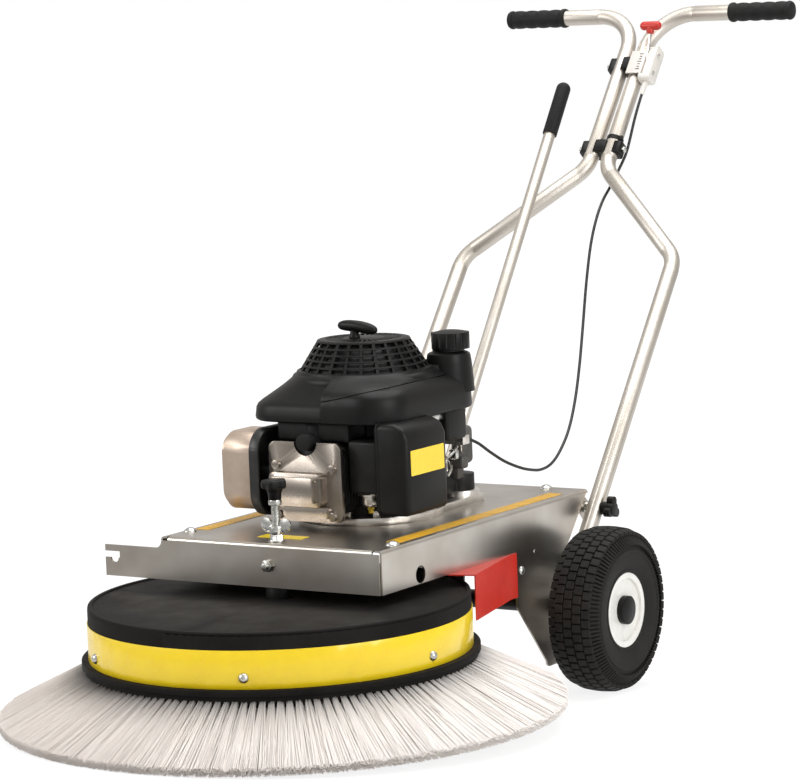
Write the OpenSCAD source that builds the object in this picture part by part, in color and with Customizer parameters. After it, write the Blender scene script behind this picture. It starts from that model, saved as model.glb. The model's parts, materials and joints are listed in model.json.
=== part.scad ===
// Walk-behind brush sweeper: a wide radial brush under a folded sheet deck, driven by a petrol engine.
// Millimetres, Z up, X to the operator's left, Y to the rear. The machine is drawn with its deck level and
// then pitched about the axle until its front bristle tips meet the ground that its wheels stand on.

/* [Brush] */
// Diameter over the bristle tips
brush_d = 870; // [760:5:960]
// Height of the lowest tips over the wheel plane, deck level
tip_z = 49; // [35:1:60]
// Rise from one row of tips to the next
tip_step = 15; // [8:1:18]
// Tufts in each of the three rows
tufts = 144; // [110:2:160]
// Width of one tuft
tuft_w = 8.5; // [5:0.5:9.5]
// Thickness of one tuft
tuft_t = 5; // [3:0.5:6]
// Diameter of the brush disc
disc_d = 584; // [540:2:620]
// Height of the disc's top face over the wheel plane
disc_top = 224; // [215:1:230]
// Height of the disc's rim
disc_h = 80; // [70:1:86]
// Wall of the disc
disc_wall = 5; // [3:0.5:8]
// Rounding of the disc's top edge
disc_round = 4; // [2:0.5:5]
// How far the foot flange stands out past the disc
flange_out = 12; // [6:1:20]
// Thickness of the foot flange
flange_t = 9; // [6:1:12]
// Thickness of the ring that holds the tufts
ring_t = 17; // [14:1:20]
// Height of the coloured band
band_h = 57; // [40:1:65]
// Thickness of the coloured band
band_t = 1.5; // [1:0.1:2.5]
// Dome screws round the band
band_screw_count = 6; // [4:1:8]
// Head diameter of the band screws
band_screw_d = 16; // [10:1:20]
// Diameter of the hub under the deck
hub_d = 40; // [38:1:42]
// Height of the hub over the disc
hub_h = 23; // [18:1:26]
// Diameter of the brush shaft
shaft_d = 25; // [20:1:30]

/* [Drive] */
// Height of the gear housing under the deck
gear_h = 44; // [36:1:46]
// Half width of the gear housing over its middle wheel
gear_r = 52; // [44:1:60]
// Half width of the gear housing under the engine
gear_rear_r = 36; // [30:1:42]

/* [Deck] */
// Width over the deck's sides
deck_w = 406; // [380:2:440]
// Front face, ahead of the brush axis
deck_front = 26; // [15:1:40]
// Rear edge, behind the brush axis
deck_rear = 604; // [590:1:620]
// Height of the deck's top over the wheel plane
deck_top = 310; // [304:1:318]
// Height of the folded rims
rim_h = 67; // [55:1:75]
// Sheet thickness
sheet = 3; // [2:0.5:4]
// Outer radius of the folds
bend_r = 6; // [4.5:0.5:9]
// Width of the folded lip on the top
lip = 12; // [10:1:16]
// Gap left at the folded corners
corner_gap = 3; // [1:0.5:5]
// Length of the hook ear past the deck's side
ear_w = 107; // [90:1:120]
// Drop of the ear's top edge below the deck
ear_drop = 18; // [14:1:24]
// Height of the hook slot
hook_h = 10; // [8:0.5:14]
// Length of the hook slot
hook_l = 28; // [20:1:40]
// Diameter of the round hole in each side rim
side_hole_d = 27; // [20:1:32]
// Place of the round hole behind the brush axis
side_hole_y = 84; // [60:1:110]
// Slope of the deck's rear edge from upright
rear_rake = 42; // [38:1:46]
// Diameter of the dome bolt heads on the deck
dome_d = 22; // [16:1:26]

/* [Side legs] */
// Front edge of the leg behind the brush axis
leg_front = 366; // [355:1:376]
// Height of the leg's front corner
leg_knee_z = 155; // [145:1:165]
// Front of the toe behind the brush axis
leg_toe_y = 462; // [450:1:470]
// Lowest point of the toe
leg_toe_z = 42; // [36:1:60]
// Width of the toe
leg_toe_w = 34; // [26:1:44]
// Corner radius of the toe
toe_r = 9; // [6:1:12]
// Rear edge of the leg behind the axle
leg_back = 34; // [30:1:40]
// Radius of the inner corner
leg_fillet = 12; // [6:1:20]

/* [Wheel guards] */
// Sheet of the guards
guard_t = 2; // [1.5:0.5:3]
// Drop of the guard's panel
guard_h = 71; // [60:1:80]
// How far the panel's front flares past the deck
guard_flare = 40; // [30:1:50]
// Clearance of the guard's front corner from the band
guard_clear = 6.6; // [5:0.2:9]
// Rear of the panel, ahead of the leg
guard_rear = 22; // [16:1:30]
// Length of the tab behind the leg
guard_tab = 34; // [26:1:40]

/* [Wheels] */
// Axle behind the brush axis
axle_y = 511; // [505:1:520]
// Diameter of the tyre
tyre_d = 266; // [256:2:280]
// Width of the tyre
tyre_w = 84; // [76:1:90]
// Gap from the deck's side to the tyre
tyre_gap = 39; // [36:1:50]
// Diameter of the rim
rim_d = 116; // [104:2:124]
// Wall of the rim
rim_wall = 4; // [3:0.5:6]
// Diameter of the wheel hub
wheel_hub_d = 40; // [34:1:46]
// Diameter of the hub cap
cap_d = 46; // [42:1:50]
// Height of the hub cap
cap_h = 14; // [8:1:18]
// Diameter of the axle tube
axle_d = 30; // [26:1:34]
// Diameter of the wheel spindles
spindle_d = 20; // [16:1:24]
// Tread lugs round each tyre
lugs = 36; // [28:1:44]
// Height of the tread lugs
lug_h = 4; // [3:0.5:6]

/* [Tilt lever] */
// Height of the swing pin over the wheel plane
swing_z = 170; // [166:1:174]
// Swing to either side
swing_deg = 4; // [2:0.5:4]
// Diameter of the swing beam
beam_d = 40; // [34:1:44]
// Diameter of its journals
journal_d = 20; // [16:1:24]
// Middle of the front hanger behind the disc's rim
hanger_clear = 51; // [47:1:53]
// Middle of the rear hanger behind the brush axis
rear_hanger_y = 488; // [486:1:489]
// Thickness of the hangers
hanger_t = 6; // [5:1:8]
// Width of the hangers
hanger_w = 90; // [70:2:120]
// Foot of the lever behind the front hanger
lever_foot = 28; // [26:1:33]
// Slope of the lever from upright
lever_rake = 35.2; // [33:0.2:36]
// Length of the lever
lever_l = 972; // [900:2:1000]
// Diameter of the lever tube
lever_d = 20; // [18:1:24]
// Diameter of the lever's grip
lever_grip_d = 25; // [23:1:30]
// Length of the lever's grip
lever_grip_l = 104; // [90:1:130]

/* [Handle] */
// Handle pivot behind the brush axis
pivot_y = 556; // [553:1:559]
// Height of the handle pivot over the wheel plane
pivot_z = 205; // [203:1:208]
// Slope of the handle from upright
handle_rake = 38.3; // [37:0.1:39.5]
// Diameter of the handle tubes
tube_d = 28; // [25:0.5:29]
// Wall of the handle tubes and of the tilt lever
tube_wall = 2.5; // [2:0.5:4]
// Distance of the legs from the middle
leg_x = 211; // [210:0.5:214]
// Length of the legs up to the knee
knee_s = 582; // [560:1:610]
// Length up to the neck where the tubes meet
neck_s = 772; // [764:1:780]
// Half the distance between the tubes in the column
column_x = 18; // [17:0.2:20]
// Length up to the hand grips
grip_s = 1108; // [1090:1:1130]
// Reach of the hand grips from the middle
grip_reach = 290; // [270:1:310]
// Length of the hand grips
grip_l = 122; // [110:1:130]
// Diameter of the hand grips
grip_d = 34; // [32:0.5:38]
// Bend radius of the tubes at knee and neck
tube_bend = 55; // [50:1:70]
// Bend radius of the tubes at the top
top_bend = 80; // [65:1:90]
// Thickness of the flattened tube ends
tongue_t = 8; // [6:1:10]
// Swing of the handle down from its top setting
handle_swing = 15; // [8:1:16]
// Place of the clamp knobs up the legs
knob_s = 93; // [90:1:100]
// Diameter over the lobes of the clamp knobs
knob_d = 40; // [36:1:44]
// Diameter of the clamp studs
stud_d = 8; // [6:0.5:10]
// Place of the lower tube clamp
clamp_low_s = 811; // [808:1:818]
// Place of the upper tube clamp
clamp_top_s = 992; // [985:1:996]
// Height of the tube clamps
clamp_h = 24; // [18:1:26]
// Diameter of the pivot bolts
pivot_bolt_d = 12; // [10:1:14]

/* [Throttle] */
// Middle of the throttle housing up the handle
throttle_s = 990; // [985:1:1000]
// Length of the throttle housing
throttle_l = 72; // [66:1:78]
// Width of the throttle housing
throttle_w = 22; // [20:1:26]
// Depth of the throttle housing
throttle_h = 28; // [25:1:31]
// Length of the throttle lever from its pin
throttle_lever_l = 70; // [60:1:80]
// Diameter of the throttle cable
cable_d = 5; // [4:0.5:6]

/* [Engine] */
// Crankshaft behind the brush axis
crank_y = 262; // [258:1:268]
// Radius of the mounting flange
base_r = 116; // [108:1:122]
// Thickness of the mounting flange
base_t = 12; // [8:1:14]
// Height of the crankcase over the deck
case_h = 168; // [166:1:172]
// Radius of the crankcase
case_r = 92; // [88:1:95]
// Diameter of the crankshaft
crank_d = 22.2; // [20:0.2:25]
// Front face of the cylinder head ahead of the crankshaft
head_y = 154; // [150:1:160]
// Cooling fins on the cylinder
fins = 7; // [5:1:8]
// Thickness of one fin
fin_t = 3; // [2:0.5:4]
// Width of the valve cover
cover_w = 134; // [126:1:140]
// Drop from the crankcase's top to the valve cover's top
cover_drop = 32; // [30:1:38]
// Offset of the cylinder to the operator's right
head_x = 17; // [12:1:22]
// Length of the muffler
muffler_l = 110; // [96:2:120]
// Room over and under the muffler
muffler_room = 22; // [20:1:28]
// Width of the muffler
muffler_w = 62; // [54:1:70]
// Length of the air cleaner
cleaner_l = 118; // [108:1:124]
// Height of the air cleaner's foot over the deck
cleaner_foot = 26; // [20:1:36]
// Width of the air cleaner
cleaner_w = 64; // [56:1:70]
// Radius of the fan housing
fan_r = 118; // [114:1:121]
// Wall of the fan housing
fan_wall = 5; // [3:0.5:8]
// Height of the fan housing
fan_h = 74; // [68:1:80]
// Height of the recoil grille
grille_h = 42; // [36:1:48]
// Radius of the grille's top
grille_top_r = 90; // [84:1:96]
// Wall of the grille
grille_t = 3; // [2.5:0.5:4]
// Upright ribs round the grille
grille_ribs = 30; // [24:1:34]
// Rings up the grille's side
grille_rings = 6; // [5:1:7]
// Slots in the grille's top
grille_slots = 30; // [24:1:36]
// Left edge of the engine cover from the crankshaft
shroud_left = 138; // [130:1:146]
// Right edge of the tank from the crankshaft
tank_right = 132; // [128:1:138]
// Front edge of the engine cover ahead of the crankshaft
shroud_front = 145; // [138:1:150]
// Rear edge of the engine cover behind the crankshaft
shroud_back = 140; // [134:1:146]
// Diameter of the fuel cap
fuel_cap_d = 61; // [54:1:64]
// Height of the fuel cap
fuel_cap_h = 30; // [24:1:34]
// Length of the starter grip
starter_l = 76; // [66:1:84]

/* [Front spindle] */
// Diameter of the threaded spindle
rod_d = 12; // [10:0.5:16]
// Height of the spindle's collar over the deck
rod_h = 56; // [52:1:64]
// Diameter over the lobes of the spindle knob
spindle_knob_d = 42; // [36:1:48]
// Height of the spindle knob
spindle_knob_h = 36; // [30:1:42]

/* [Clearances] */
// Running clearance of a shaft in its bore, on the radius
run = 0.05; // [0.02:0.01:0.09]
// Clearance between pieces that move past each other
gap = 0.3; // [0.2:0.05:0.5]

/* [Hidden] */
$fn = 64;

// Ground pose: the pitch that sets the front tips on the ground, and the middle of the length
axle_z = tyre_d / 2;
tip_reach = brush_d / 2 + axle_y;
pitch = asin(axle_z / norm([tip_reach, axle_z - tip_z])) - atan2(axle_z - tip_z, tip_reach);
tip_top_z = tip_z + 2 * tip_step + tuft_t;
grip_y = pivot_y + grip_s * sin(handle_rake);
grip_z = pivot_z + grip_s * cos(handle_rake);
row_front = axle_y - tip_reach * cos(pitch) + (axle_z - tip_top_z) * sin(pitch);
row_back = axle_y + (grip_y - axle_y) * cos(pitch) - (grip_z - axle_z) * sin(pitch) + grip_d / 2;
centre_y = (row_front + row_back) / 2;

// Brush stack
disc_foot = disc_top - disc_h;
flange_z = disc_foot - flange_t;
ring_z = flange_z - ring_t;
ring_in = disc_d / 2 - 56;
ring_out = disc_d / 2 + flange_out - 4;
root_r = ring_in + 14;

// Deck
half_w = deck_w / 2;
deck_under = deck_top - sheet;
rim_z = deck_top - rim_h;
fold_z = deck_top - bend_r;
tab_x = half_w - lip;
rear_slope = tan(rear_rake);
ear_top = deck_top - ear_drop;
gear_z = deck_under - gear_h;
gear_front_r = deck_front - sheet - 2;

// Axle and wheels
front_hanger_y = disc_d / 2 + hanger_clear;
lever_foot_y = front_hanger_y + lever_foot;
tyre_in = half_w + tyre_gap;
wheel_mid = tyre_in + tyre_w / 2;
slot_travel = half_w * sin(swing_deg);
slot_r = axle_d / 2 + 2;
spindle_end = wheel_mid + 34;

// Wheel guards
guard_x = half_w + guard_flare;
guard_front = sqrt(pow(disc_d / 2 + band_t + guard_clear, 2) - pow(guard_x, 2));

// Handle
tongue_x = half_w + 2;
stud_r = stud_d / 2;
quad_x = leg_x - tube_d / 2 - 7;
knob_x = leg_x + tube_d / 2 + gap;

// Engine
case_top = deck_top + case_h;
fan_top = case_top + fan_h;
grille_top = fan_top + grille_h;
cover_h = case_h - base_t - cover_drop;
head_z = deck_top + base_t + cover_h / 2;
cover_t = 8;
fin_front = crank_y - head_y + cover_t;
crank_bore = crank_d / 2 + run;
muffler_x = 114;
muffler_y = crank_y - 102;
muffler_h = case_h - 2 * muffler_room;
muffler_z = deck_top + case_h / 2;
cleaner_x = 102;
cleaner_y = crank_y - 86;
cleaner_h = case_h - cleaner_foot;
cleaner_z = deck_top + cleaner_foot + cleaner_h / 2;
cap_x = 100;
cap_y = crank_y + 98;
cap_z = fan_top + 15;
rear_lobe = [62, 166];
case_side = 50;

// How far an elbow is let into its runs, and how much thinner it is
elbow_seat = 1;
elbow_step = 0.4;

// Side plane where the engine cover meets the tank
shroud_seam = 10;

// Tube clamps: depth, outer face and bolts
clamp_deep = tube_d + 4;
clamp_out = column_x + tube_d / 2 + 8;
clamp_bolt_r = 3;
clamp_hole_r = clamp_bolt_r + 0.15;

// Throttle: middle of its housing, plane of its lever and place of its pin
throttle_x = column_x + tube_d / 2 + 1 + throttle_w / 2;
lever_x = throttle_x - 6;
throttle_pin = throttle_s - 12;
throttle_y = throttle_h / 2 - clamp_deep / 2 - 3;

// Point on the handle at rest: across, out to its front and up along it
function handle_point(x, n, s) = [
  x,
  pivot_y - n * cos(handle_rake) + s * sin(handle_rake),
  pivot_z + n * sin(handle_rake) + s * cos(handle_rake)
];

// Cable route, from the throttle housing down behind the neck and forward to the engine
cable_top = throttle_s - throttle_l / 2 - gap;
cable_end = [100, crank_y + 130, cleaner_z + 11];
cable_route = [
  handle_point(throttle_x, 4, cable_top), handle_point(throttle_x, 4, cable_top - 14),
  handle_point(throttle_x - 1, 2, cable_top - 40), handle_point(column_x + 23, -4, cable_top - 75),
  handle_point(column_x + 20.5, -14, clamp_low_s + 30), handle_point(column_x + 18, -20, clamp_low_s + 5),
  handle_point(column_x + 14, -21, clamp_low_s - 25), handle_point(column_x + 9, -19, neck_s - 27),
  handle_point(column_x + 8, -12, neck_s - 60),
  [29, 976, 727], [33.5, 944, 683], [44, 905, 620], [58, 862, 545], [73, 820, 486], [86, 778, 432],
  [98, 732, 388], [106, 686, 358], [112, 644, 342], [114, 606, 338], [115, 570, 343], [115, 535, 352],
  [113, 492, 368], [109, 455, 388], [105, 428, 405],
  cable_end + [1, 20, -5], cable_end + [0, 10, -1], cable_end
];

// Shared forms

// Sets level machine geometry on the ground
module posed() {
  translate([0, axle_y - centre_y, axle_z])
    rotate([pitch, 0, 0])
      translate([0, -axle_y, -axle_z])
        children();
}

// Sets handle geometry on its pivot: Z up the handle, Y to its back
module on_handle() {
  posed()
    translate([0, pivot_y, pivot_z])
      rotate([-handle_rake, 0, 0])
        children();
}

// Sets lever geometry on its foot: Z up the lever
module on_lever() {
  translate([0, lever_foot_y, swing_z])
    rotate([-lever_rake, 0, 0])
      children();
}

// Draws both sides of the machine from the left one
module both_sides() {
  children();
  mirror([1, 0, 0]) children();
}

// Rectangle with round corners, about its middle
module round_rect(size, r) {
  square([size[0] - 2 * r, size[1]], center = true);
  square([size[0], size[1] - 2 * r], center = true);
  for (sx = [-1, 1], sy = [-1, 1])
    translate([sx * (size[0] / 2 - r), sy * (size[1] / 2 - r)]) circle(r);
}

// Plate in the YZ plane, its near face at x
module plate_x(x, t) {
  translate([x, 0, 0]) rotate([90, 0, 90]) linear_extrude(t) children();
}

// Plate in the XZ plane, its front face at y
module plate_y(y, t) {
  translate([0, y + t, 0]) rotate([90, 0, 0]) linear_extrude(t) children();
}

// Round bar along X
module bar_x(x0, x1, y, z, r) {
  translate([x0, y, z]) rotate([0, 90, 0]) cylinder(r = r, h = x1 - x0);
}

// Round bar along Y
module bar_y(y0, y1, x, z, r) {
  translate([x, y0, z]) rotate([-90, 0, 0]) cylinder(r = r, h = y1 - y0);
}

// Hexagon head or nut on Z, across flats af
module hex(af, h) {
  cylinder(r = af / sqrt(3), h = h, $fn = 6);
}

// Low dome head on Z
module dome_head(d, h) {
  big_r = (d * d / 4 + h * h) / (2 * h);
  intersection() {
    translate([0, 0, h - big_r]) sphere(big_r);
    cylinder(d = d, h = h);
  }
}

// Knob with three lobes on Z
module lobe_knob(d, h) {
  lobe_r = d * 0.19;
  arm_w = lobe_r * 1.5;
  cylinder(r = d * 0.27, h = h);
  for (a = [90 : 120 : 330])
    rotate(a) {
      translate([d / 2 - lobe_r, 0, h * 0.45]) cylinder(r = lobe_r, h = h * 0.5);
      translate([0, -arm_w / 2, h * 0.45]) cube([d / 2 - lobe_r, arm_w, h * 0.5]);
    }
}

// Ring between two radii
module annulus(r_out, r_in) {
  difference() {
    circle(r_out);
    circle(r_in);
  }
}

function unit(v) = v / norm(v);

// Tube along a flat run of points in XZ, with a true elbow at each inner point, a hair thinner and let
// into the straight runs
module flat_tube(pts, r, wall, bends) {
  last = len(pts) - 1;
  // Length that each elbow takes off its runs
  function cut(i) = i == 0 || i == last ? 0 : bends[i - 1] / tan(open_angle(i) / 2);
  function open_angle(i) = acos(unit(pts[i - 1] - pts[i]) * unit(pts[i + 1] - pts[i]));
  rotate([90, 0, 0]) {
    for (i = [0 : last - 1]) {
      dir = unit(pts[i + 1] - pts[i]);
      a = pts[i] + dir * (cut(i) - (i > 0 ? elbow_seat : 0));
      b = pts[i + 1] - dir * (cut(i + 1) - (i < last - 1 ? elbow_seat : 0));
      translate([a[0], a[1], 0])
        rotate([0, 90, atan2(dir[1], dir[0])]) linear_extrude(norm(b - a)) annulus(r, r - wall);
    }
    for (i = [1 : last - 1]) {
      to_a = unit(pts[i - 1] - pts[i]);
      to_b = unit(pts[i + 1] - pts[i]);
      half = open_angle(i) / 2;
      mid = pts[i] + unit(to_a + to_b) * bends[i - 1] / sin(half);
      from_a = pts[i] + to_a * cut(i) - mid;
      from_b = pts[i] + to_b * cut(i) - mid;
      first = from_a[0] * from_b[1] - from_a[1] * from_b[0] > 0 ? from_a : from_b;
      translate([mid[0], mid[1], 0])
        rotate(atan2(first[1], first[0]))
          rotate_extrude(angle = 180 - 2 * half)
            translate([bends[i - 1], 0]) annulus(r - elbow_step, r - wall + elbow_step);
    }
  }
}

// Round cord swept along points, as one skin
module cord(pts, d, sides = 8) {
  n = len(pts);
  function along(i) = unit(pts[min(i + 1, n - 1)] - pts[max(i - 1, 0)]);
  function side(i) = unit(cross(along(i), [1, 0, 0.05]));
  function ring(i) = [
    for (k = [0 : sides - 1])
      let (a = 360 * k / sides)
      pts[i] + d / 2 * (cos(a) * side(i) + sin(a) * cross(along(i), side(i)))
  ];
  skin = [for (i = [0 : n - 1]) each ring(i)];
  walls = [
    for (i = [0 : n - 2], k = [0 : sides - 1])
      let (a = i * sides + k, b = i * sides + (k + 1) % sides)
      each [[a, b, b + sides], [a, b + sides, a + sides]]
  ];
  first_cap = [for (k = [1 : sides - 2]) [0, k + 1, k]];
  last_cap = [for (k = [1 : sides - 2]) [(n - 1) * sides, (n - 1) * sides + k, (n - 1) * sides + k + 1]];
  polyhedron(points = skin, faces = concat(walls, first_cap, last_cap));
}

// Deck

// Top sheet with its openings
module deck_plate() {
  color("silver") posed() difference() {
    translate([-tab_x, lip - deck_front, deck_under])
      cube([2 * tab_x, deck_rear - lip + deck_front, sheet]);
    translate([0, 0, deck_under - 1]) cylinder(d = rod_d + 2 * run, h = sheet + 2);
    translate([0, crank_y, deck_under - 1]) cylinder(r = crank_bore + 8, h = sheet + 2);
    lever_slot();
  }
}

// Opening that lets the tilt lever through and leaves room for its swing
module lever_slot() {
  y_mid = lever_foot_y + (deck_top - swing_z) * tan(lever_rake);
  reach = (deck_top - swing_z) * tan(swing_deg) + lever_d / 2 + 4;
  wide = lever_d / cos(lever_rake) + 2 * sheet + 6;
  translate([0, y_mid, deck_under - 1]) linear_extrude(sheet + 2) round_rect([2 * reach, wide], 8);
}

// Front rim with the fold on its top and the hook ear on the operator's right
module front_plate() {
  inner = half_w - corner_gap;
  color("silver") posed() {
    plate_y(-deck_front, sheet) difference() {
      union() {
        translate([-inner, rim_z]) square([2 * inner, fold_z - rim_z]);
        translate([-half_w - ear_w, rim_z]) square([ear_w + corner_gap + 1, ear_top - rim_z]);
        ear_fillet(inner);
      }
      hook_slot();
      translate([0, rim_z + rim_h / 2]) circle(5);
    }
    translate([-tab_x + corner_gap, 0, 0]) rotate([90, 0, 90]) linear_extrude(2 * (tab_x - corner_gap)) {
      translate([bend_r - deck_front, fold_z]) intersection() {
        difference() {
          circle(bend_r);
          circle(bend_r - sheet);
        }
        translate([-bend_r, 0]) square(bend_r);
      }
      translate([bend_r - deck_front, deck_under]) square([lip - bend_r, sheet]);
    }
  }
}

// Round run from the ear's top edge up to the fold
module ear_fillet(inner) {
  r = fold_z - ear_top;
  translate([-inner - r, ear_top]) difference() {
    square([r + 1, r]);
    translate([0, r]) circle(r);
  }
}

// Slot with a drop at its inner end, to hang a deflector on
module hook_slot() {
  end_x = -half_w - ear_w;
  translate([end_x - 1, ear_top - 2 * hook_h]) square([hook_l + 1, hook_h]);
  translate([end_x + hook_l - hook_h, ear_top - 2 * hook_h]) circle(hook_h * 0.75);
}

// Outline of one side, its rim and its leg, as seen from the side
module side_outline() {
  front = corner_gap + 1 - deck_front;
  slant_z = pivot_z + 26;
  slant_y = deck_rear - (deck_top - slant_z) * rear_slope;
  toe_y = leg_toe_y + leg_toe_w;
  difference() {
    union() {
      polygon([
        [front, rim_z], [front, fold_z], [deck_rear - bend_r * rear_slope, fold_z],
        [slant_y, slant_z], [pivot_y - 10, pivot_z + 18], [pivot_y, pivot_z],
        [axle_y + leg_back, axle_z], [toe_y - toe_r / 2, leg_toe_z + toe_r],
        [leg_toe_y + toe_r, leg_toe_z], [leg_toe_y - toe_r * 0.7, leg_toe_z + toe_r * 0.7],
        [leg_front, leg_knee_z], [leg_front, rim_z]
      ]);
      translate([pivot_y, pivot_z]) circle(20);
      translate([leg_toe_y, leg_toe_z + toe_r]) circle(toe_r);
      translate([toe_y - toe_r, leg_toe_z + toe_r]) circle(toe_r);
      translate([leg_toe_y, leg_toe_z]) square([leg_toe_w - toe_r, toe_r]);
      translate([leg_front - leg_fillet, rim_z - leg_fillet]) difference() {
        square(leg_fillet + 1);
        circle(leg_fillet);
      }
    }
    translate([axle_y, axle_z]) {
      square([2 * slot_r, 2 * slot_travel + 4], center = true);
      for (s = [-1, 1]) translate([0, s * (slot_travel + 2)]) circle(slot_r);
    }
    translate([pivot_y, pivot_z]) circle(pivot_bolt_d / 2 + run);
    translate([side_hole_y, rim_z + 14]) circle(side_hole_d / 2);
    translate([leg_front + 60, rim_z - 7]) circle(3.5);
    translate([leg_front + 17, rim_z - 31]) circle(4);
  }
}

// One side: the plate, the fold on its top and the lip that carries the deck plate
module side_plate() {
  front = corner_gap + 1 - deck_front;
  plate_x(half_w - sheet, sheet) side_outline();
  translate([0, deck_rear, 0]) rotate([90, 0, 0]) linear_extrude(deck_rear - front) {
    translate([half_w - bend_r, fold_z]) intersection() {
      difference() {
        circle(bend_r);
        circle(bend_r - sheet);
      }
      square(bend_r);
    }
    translate([tab_x, deck_under]) square([lip - bend_r, sheet]);
  }
}

// Left side plate
module side_plate_left() {
  color("silver") posed() side_plate();
}

// Right side plate
module side_plate_right() {
  color("silver") posed() mirror([1, 0, 0]) side_plate();
}

// Sloping rear wall with the two quadrants that the handle's clamp studs run in
module rear_wall() {
  foot_z = pivot_z + 30;
  thick_y = sheet / cos(rear_rake);
  function face_y(z) = deck_rear - (deck_top - z) * rear_slope;
  color("silver") posed() {
    translate([sheet - half_w, 0, 0]) rotate([90, 0, 90]) linear_extrude(2 * (half_w - sheet))
      polygon([[face_y(deck_under), deck_under], [face_y(deck_under) - thick_y, deck_under],
               [face_y(foot_z) - thick_y, foot_z], [face_y(foot_z), foot_z]]);
    both_sides() plate_x(quad_x - 4, 4) difference() {
      quadrant_outline();
      translate([-thick_y / 2, 0])
        polygon([[face_y(deck_top + 20), deck_top + 20], [pivot_y - 200, deck_top + 20],
                 [pivot_y - 200, foot_z - 60], [face_y(foot_z - 60), foot_z - 60]]);
    }
  }
}

// Arc plate about the handle pivot, with the slot for the clamp stud
module quadrant_outline() {
  lead = 30;
  tail = handle_swing + 9;
  translate([pivot_y, pivot_z]) difference() {
    sector(knob_s - 15, knob_s + 15, 90 - handle_rake - tail, 90 - handle_rake + lead);
    for (a = [0, -handle_swing])
      rotate(90 - handle_rake + a) translate([knob_s, 0]) circle(stud_r + gap);
    sector(knob_s - stud_r - gap, knob_s + stud_r + gap, 90 - handle_rake - handle_swing, 90 - handle_rake);
  }
}

// Ring sector between two radii and two angles
module sector(r0, r1, a0, a1) {
  far = 2 * r1;
  intersection() {
    difference() {
      circle(r1);
      circle(r0);
    }
    polygon([[0, 0], far * [cos(a0), sin(a0)], far * [cos((a0 + a1) / 2), sin((a0 + a1) / 2)],
             far * [cos(a1), sin(a1)]]);
  }
}

// Guard between brush and wheel: a flared panel under a flange, with a tab behind the leg
module wheel_guard() {
  back_y = leg_front - guard_rear;
  in_x = half_w - sheet - guard_t;
  cross_y = leg_front - leg_fillet - 4;
  low_z = rim_z - guard_h + 14;
  translate([0, 0, rim_z - guard_t]) linear_extrude(guard_t)
    polygon([[half_w - 16, guard_front - 12], [half_w, guard_front - 12], [guard_x, guard_front],
             [half_w + 2, back_y], [half_w + 2, cross_y], [half_w - 16, cross_y]]);
  translate([0, 0, rim_z - guard_h]) linear_extrude(guard_h)
    polygon([[guard_x, guard_front], [half_w + 2, back_y], [half_w + 2, leg_front - gap],
             [half_w + 2 - guard_t, leg_front - gap], [half_w + 2 - guard_t, back_y],
             [guard_x - guard_t, guard_front]]);
  translate([in_x, cross_y, low_z]) cube([guard_t, leg_front + guard_tab - cross_y, guard_h - 18]);
  translate([in_x, cross_y - guard_t, low_z]) cube([sheet + guard_t + 2, guard_t, guard_h - 14]);
}

// Left wheel guard
module wheel_guard_left() {
  color("firebrick") posed() wheel_guard();
}

// Right wheel guard
module wheel_guard_right() {
  color("firebrick") posed() mirror([1, 0, 0]) wheel_guard();
}

// Dome bolts on the deck, and the bolts of the front rim and the guards
module deck_bolts() {
  color("gainsboro") posed() {
    both_sides() {
      for (y = [34, deck_rear - 12])
        translate([half_w - 16 - (y > 300 ? 56 : 0), y, deck_top]) dome_head(dome_d, 6);
      translate([half_w, leg_front + 17, rim_z - 31]) rotate([0, 90, 0]) dome_head(14, 4);
    }
    translate([0, -deck_front, rim_z + rim_h / 2]) rotate([90, 0, 0]) {
      hex(17, 6);
      cylinder(d = 10, h = 12);
    }
  }
}

// Swing axle

// Two hangers under the deck that carry the swing pin
module axle_hangers() {
  color("dimgray") posed()
    for (y = [front_hanger_y, rear_hanger_y])
      plate_y(y - hanger_t / 2, hanger_t) difference() {
        union() {
          circle_at(swing_z, journal_d / 2 + 20);
          polygon([[-journal_d / 2 - 20, swing_z], [journal_d / 2 + 20, swing_z],
                   [hanger_w / 2, deck_under], [-hanger_w / 2, deck_under]]);
        }
        circle_at(swing_z, journal_d / 2 + run);
      }
}

// Circle on the middle plane at a height
module circle_at(z, r) {
  translate([0, z]) circle(r);
}

// Swing beam with its journals, the trailing arm and the axle
module swing_axle() {
  arm_top = swing_z - journal_d / 2 - 24;
  arm_z = axle_z - axle_d / 2 + 2;
  face_front = front_hanger_y + hanger_t / 2 + gap;
  face_back = rear_hanger_y - hanger_t / 2 - gap;
  end_front = front_hanger_y - hanger_t / 2 - gap;
  end_back = rear_hanger_y + hanger_t / 2 + gap;
  color("dimgray") posed() {
    bar_y(face_front, face_back, 0, swing_z, beam_d / 2);
    bar_y(end_front, end_back, 0, swing_z, journal_d / 2);
    bar_y(end_front - 7, end_front, 0, swing_z, journal_d / 2 + 6);
    bar_y(end_back, end_back + 7, 0, swing_z, journal_d / 2 + 6);
    translate([-9, face_back - 66, arm_z]) cube([18, 60, swing_z - arm_z]);
    translate([-22, face_back - 66, arm_z]) cube([44, axle_y - face_back + 66, arm_top - arm_z]);
    bar_x(-tyre_in + 12, tyre_in - 12, axle_y, axle_z, axle_d / 2);
    bar_x(-spindle_end, spindle_end, axle_y, axle_z, spindle_d / 2);
  }
}

// Tilt lever, cut to sit on the swing beam
module tilt_lever() {
  color("gainsboro") posed() difference() {
    on_lever() difference() {
      cylinder(d = lever_d, h = lever_l - 6);
      translate([0, 0, beam_d]) cylinder(d = lever_d - 2 * tube_wall, h = lever_l);
    }
    bar_y(front_hanger_y, rear_hanger_y, 0, swing_z, beam_d / 2);
  }
}

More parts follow.
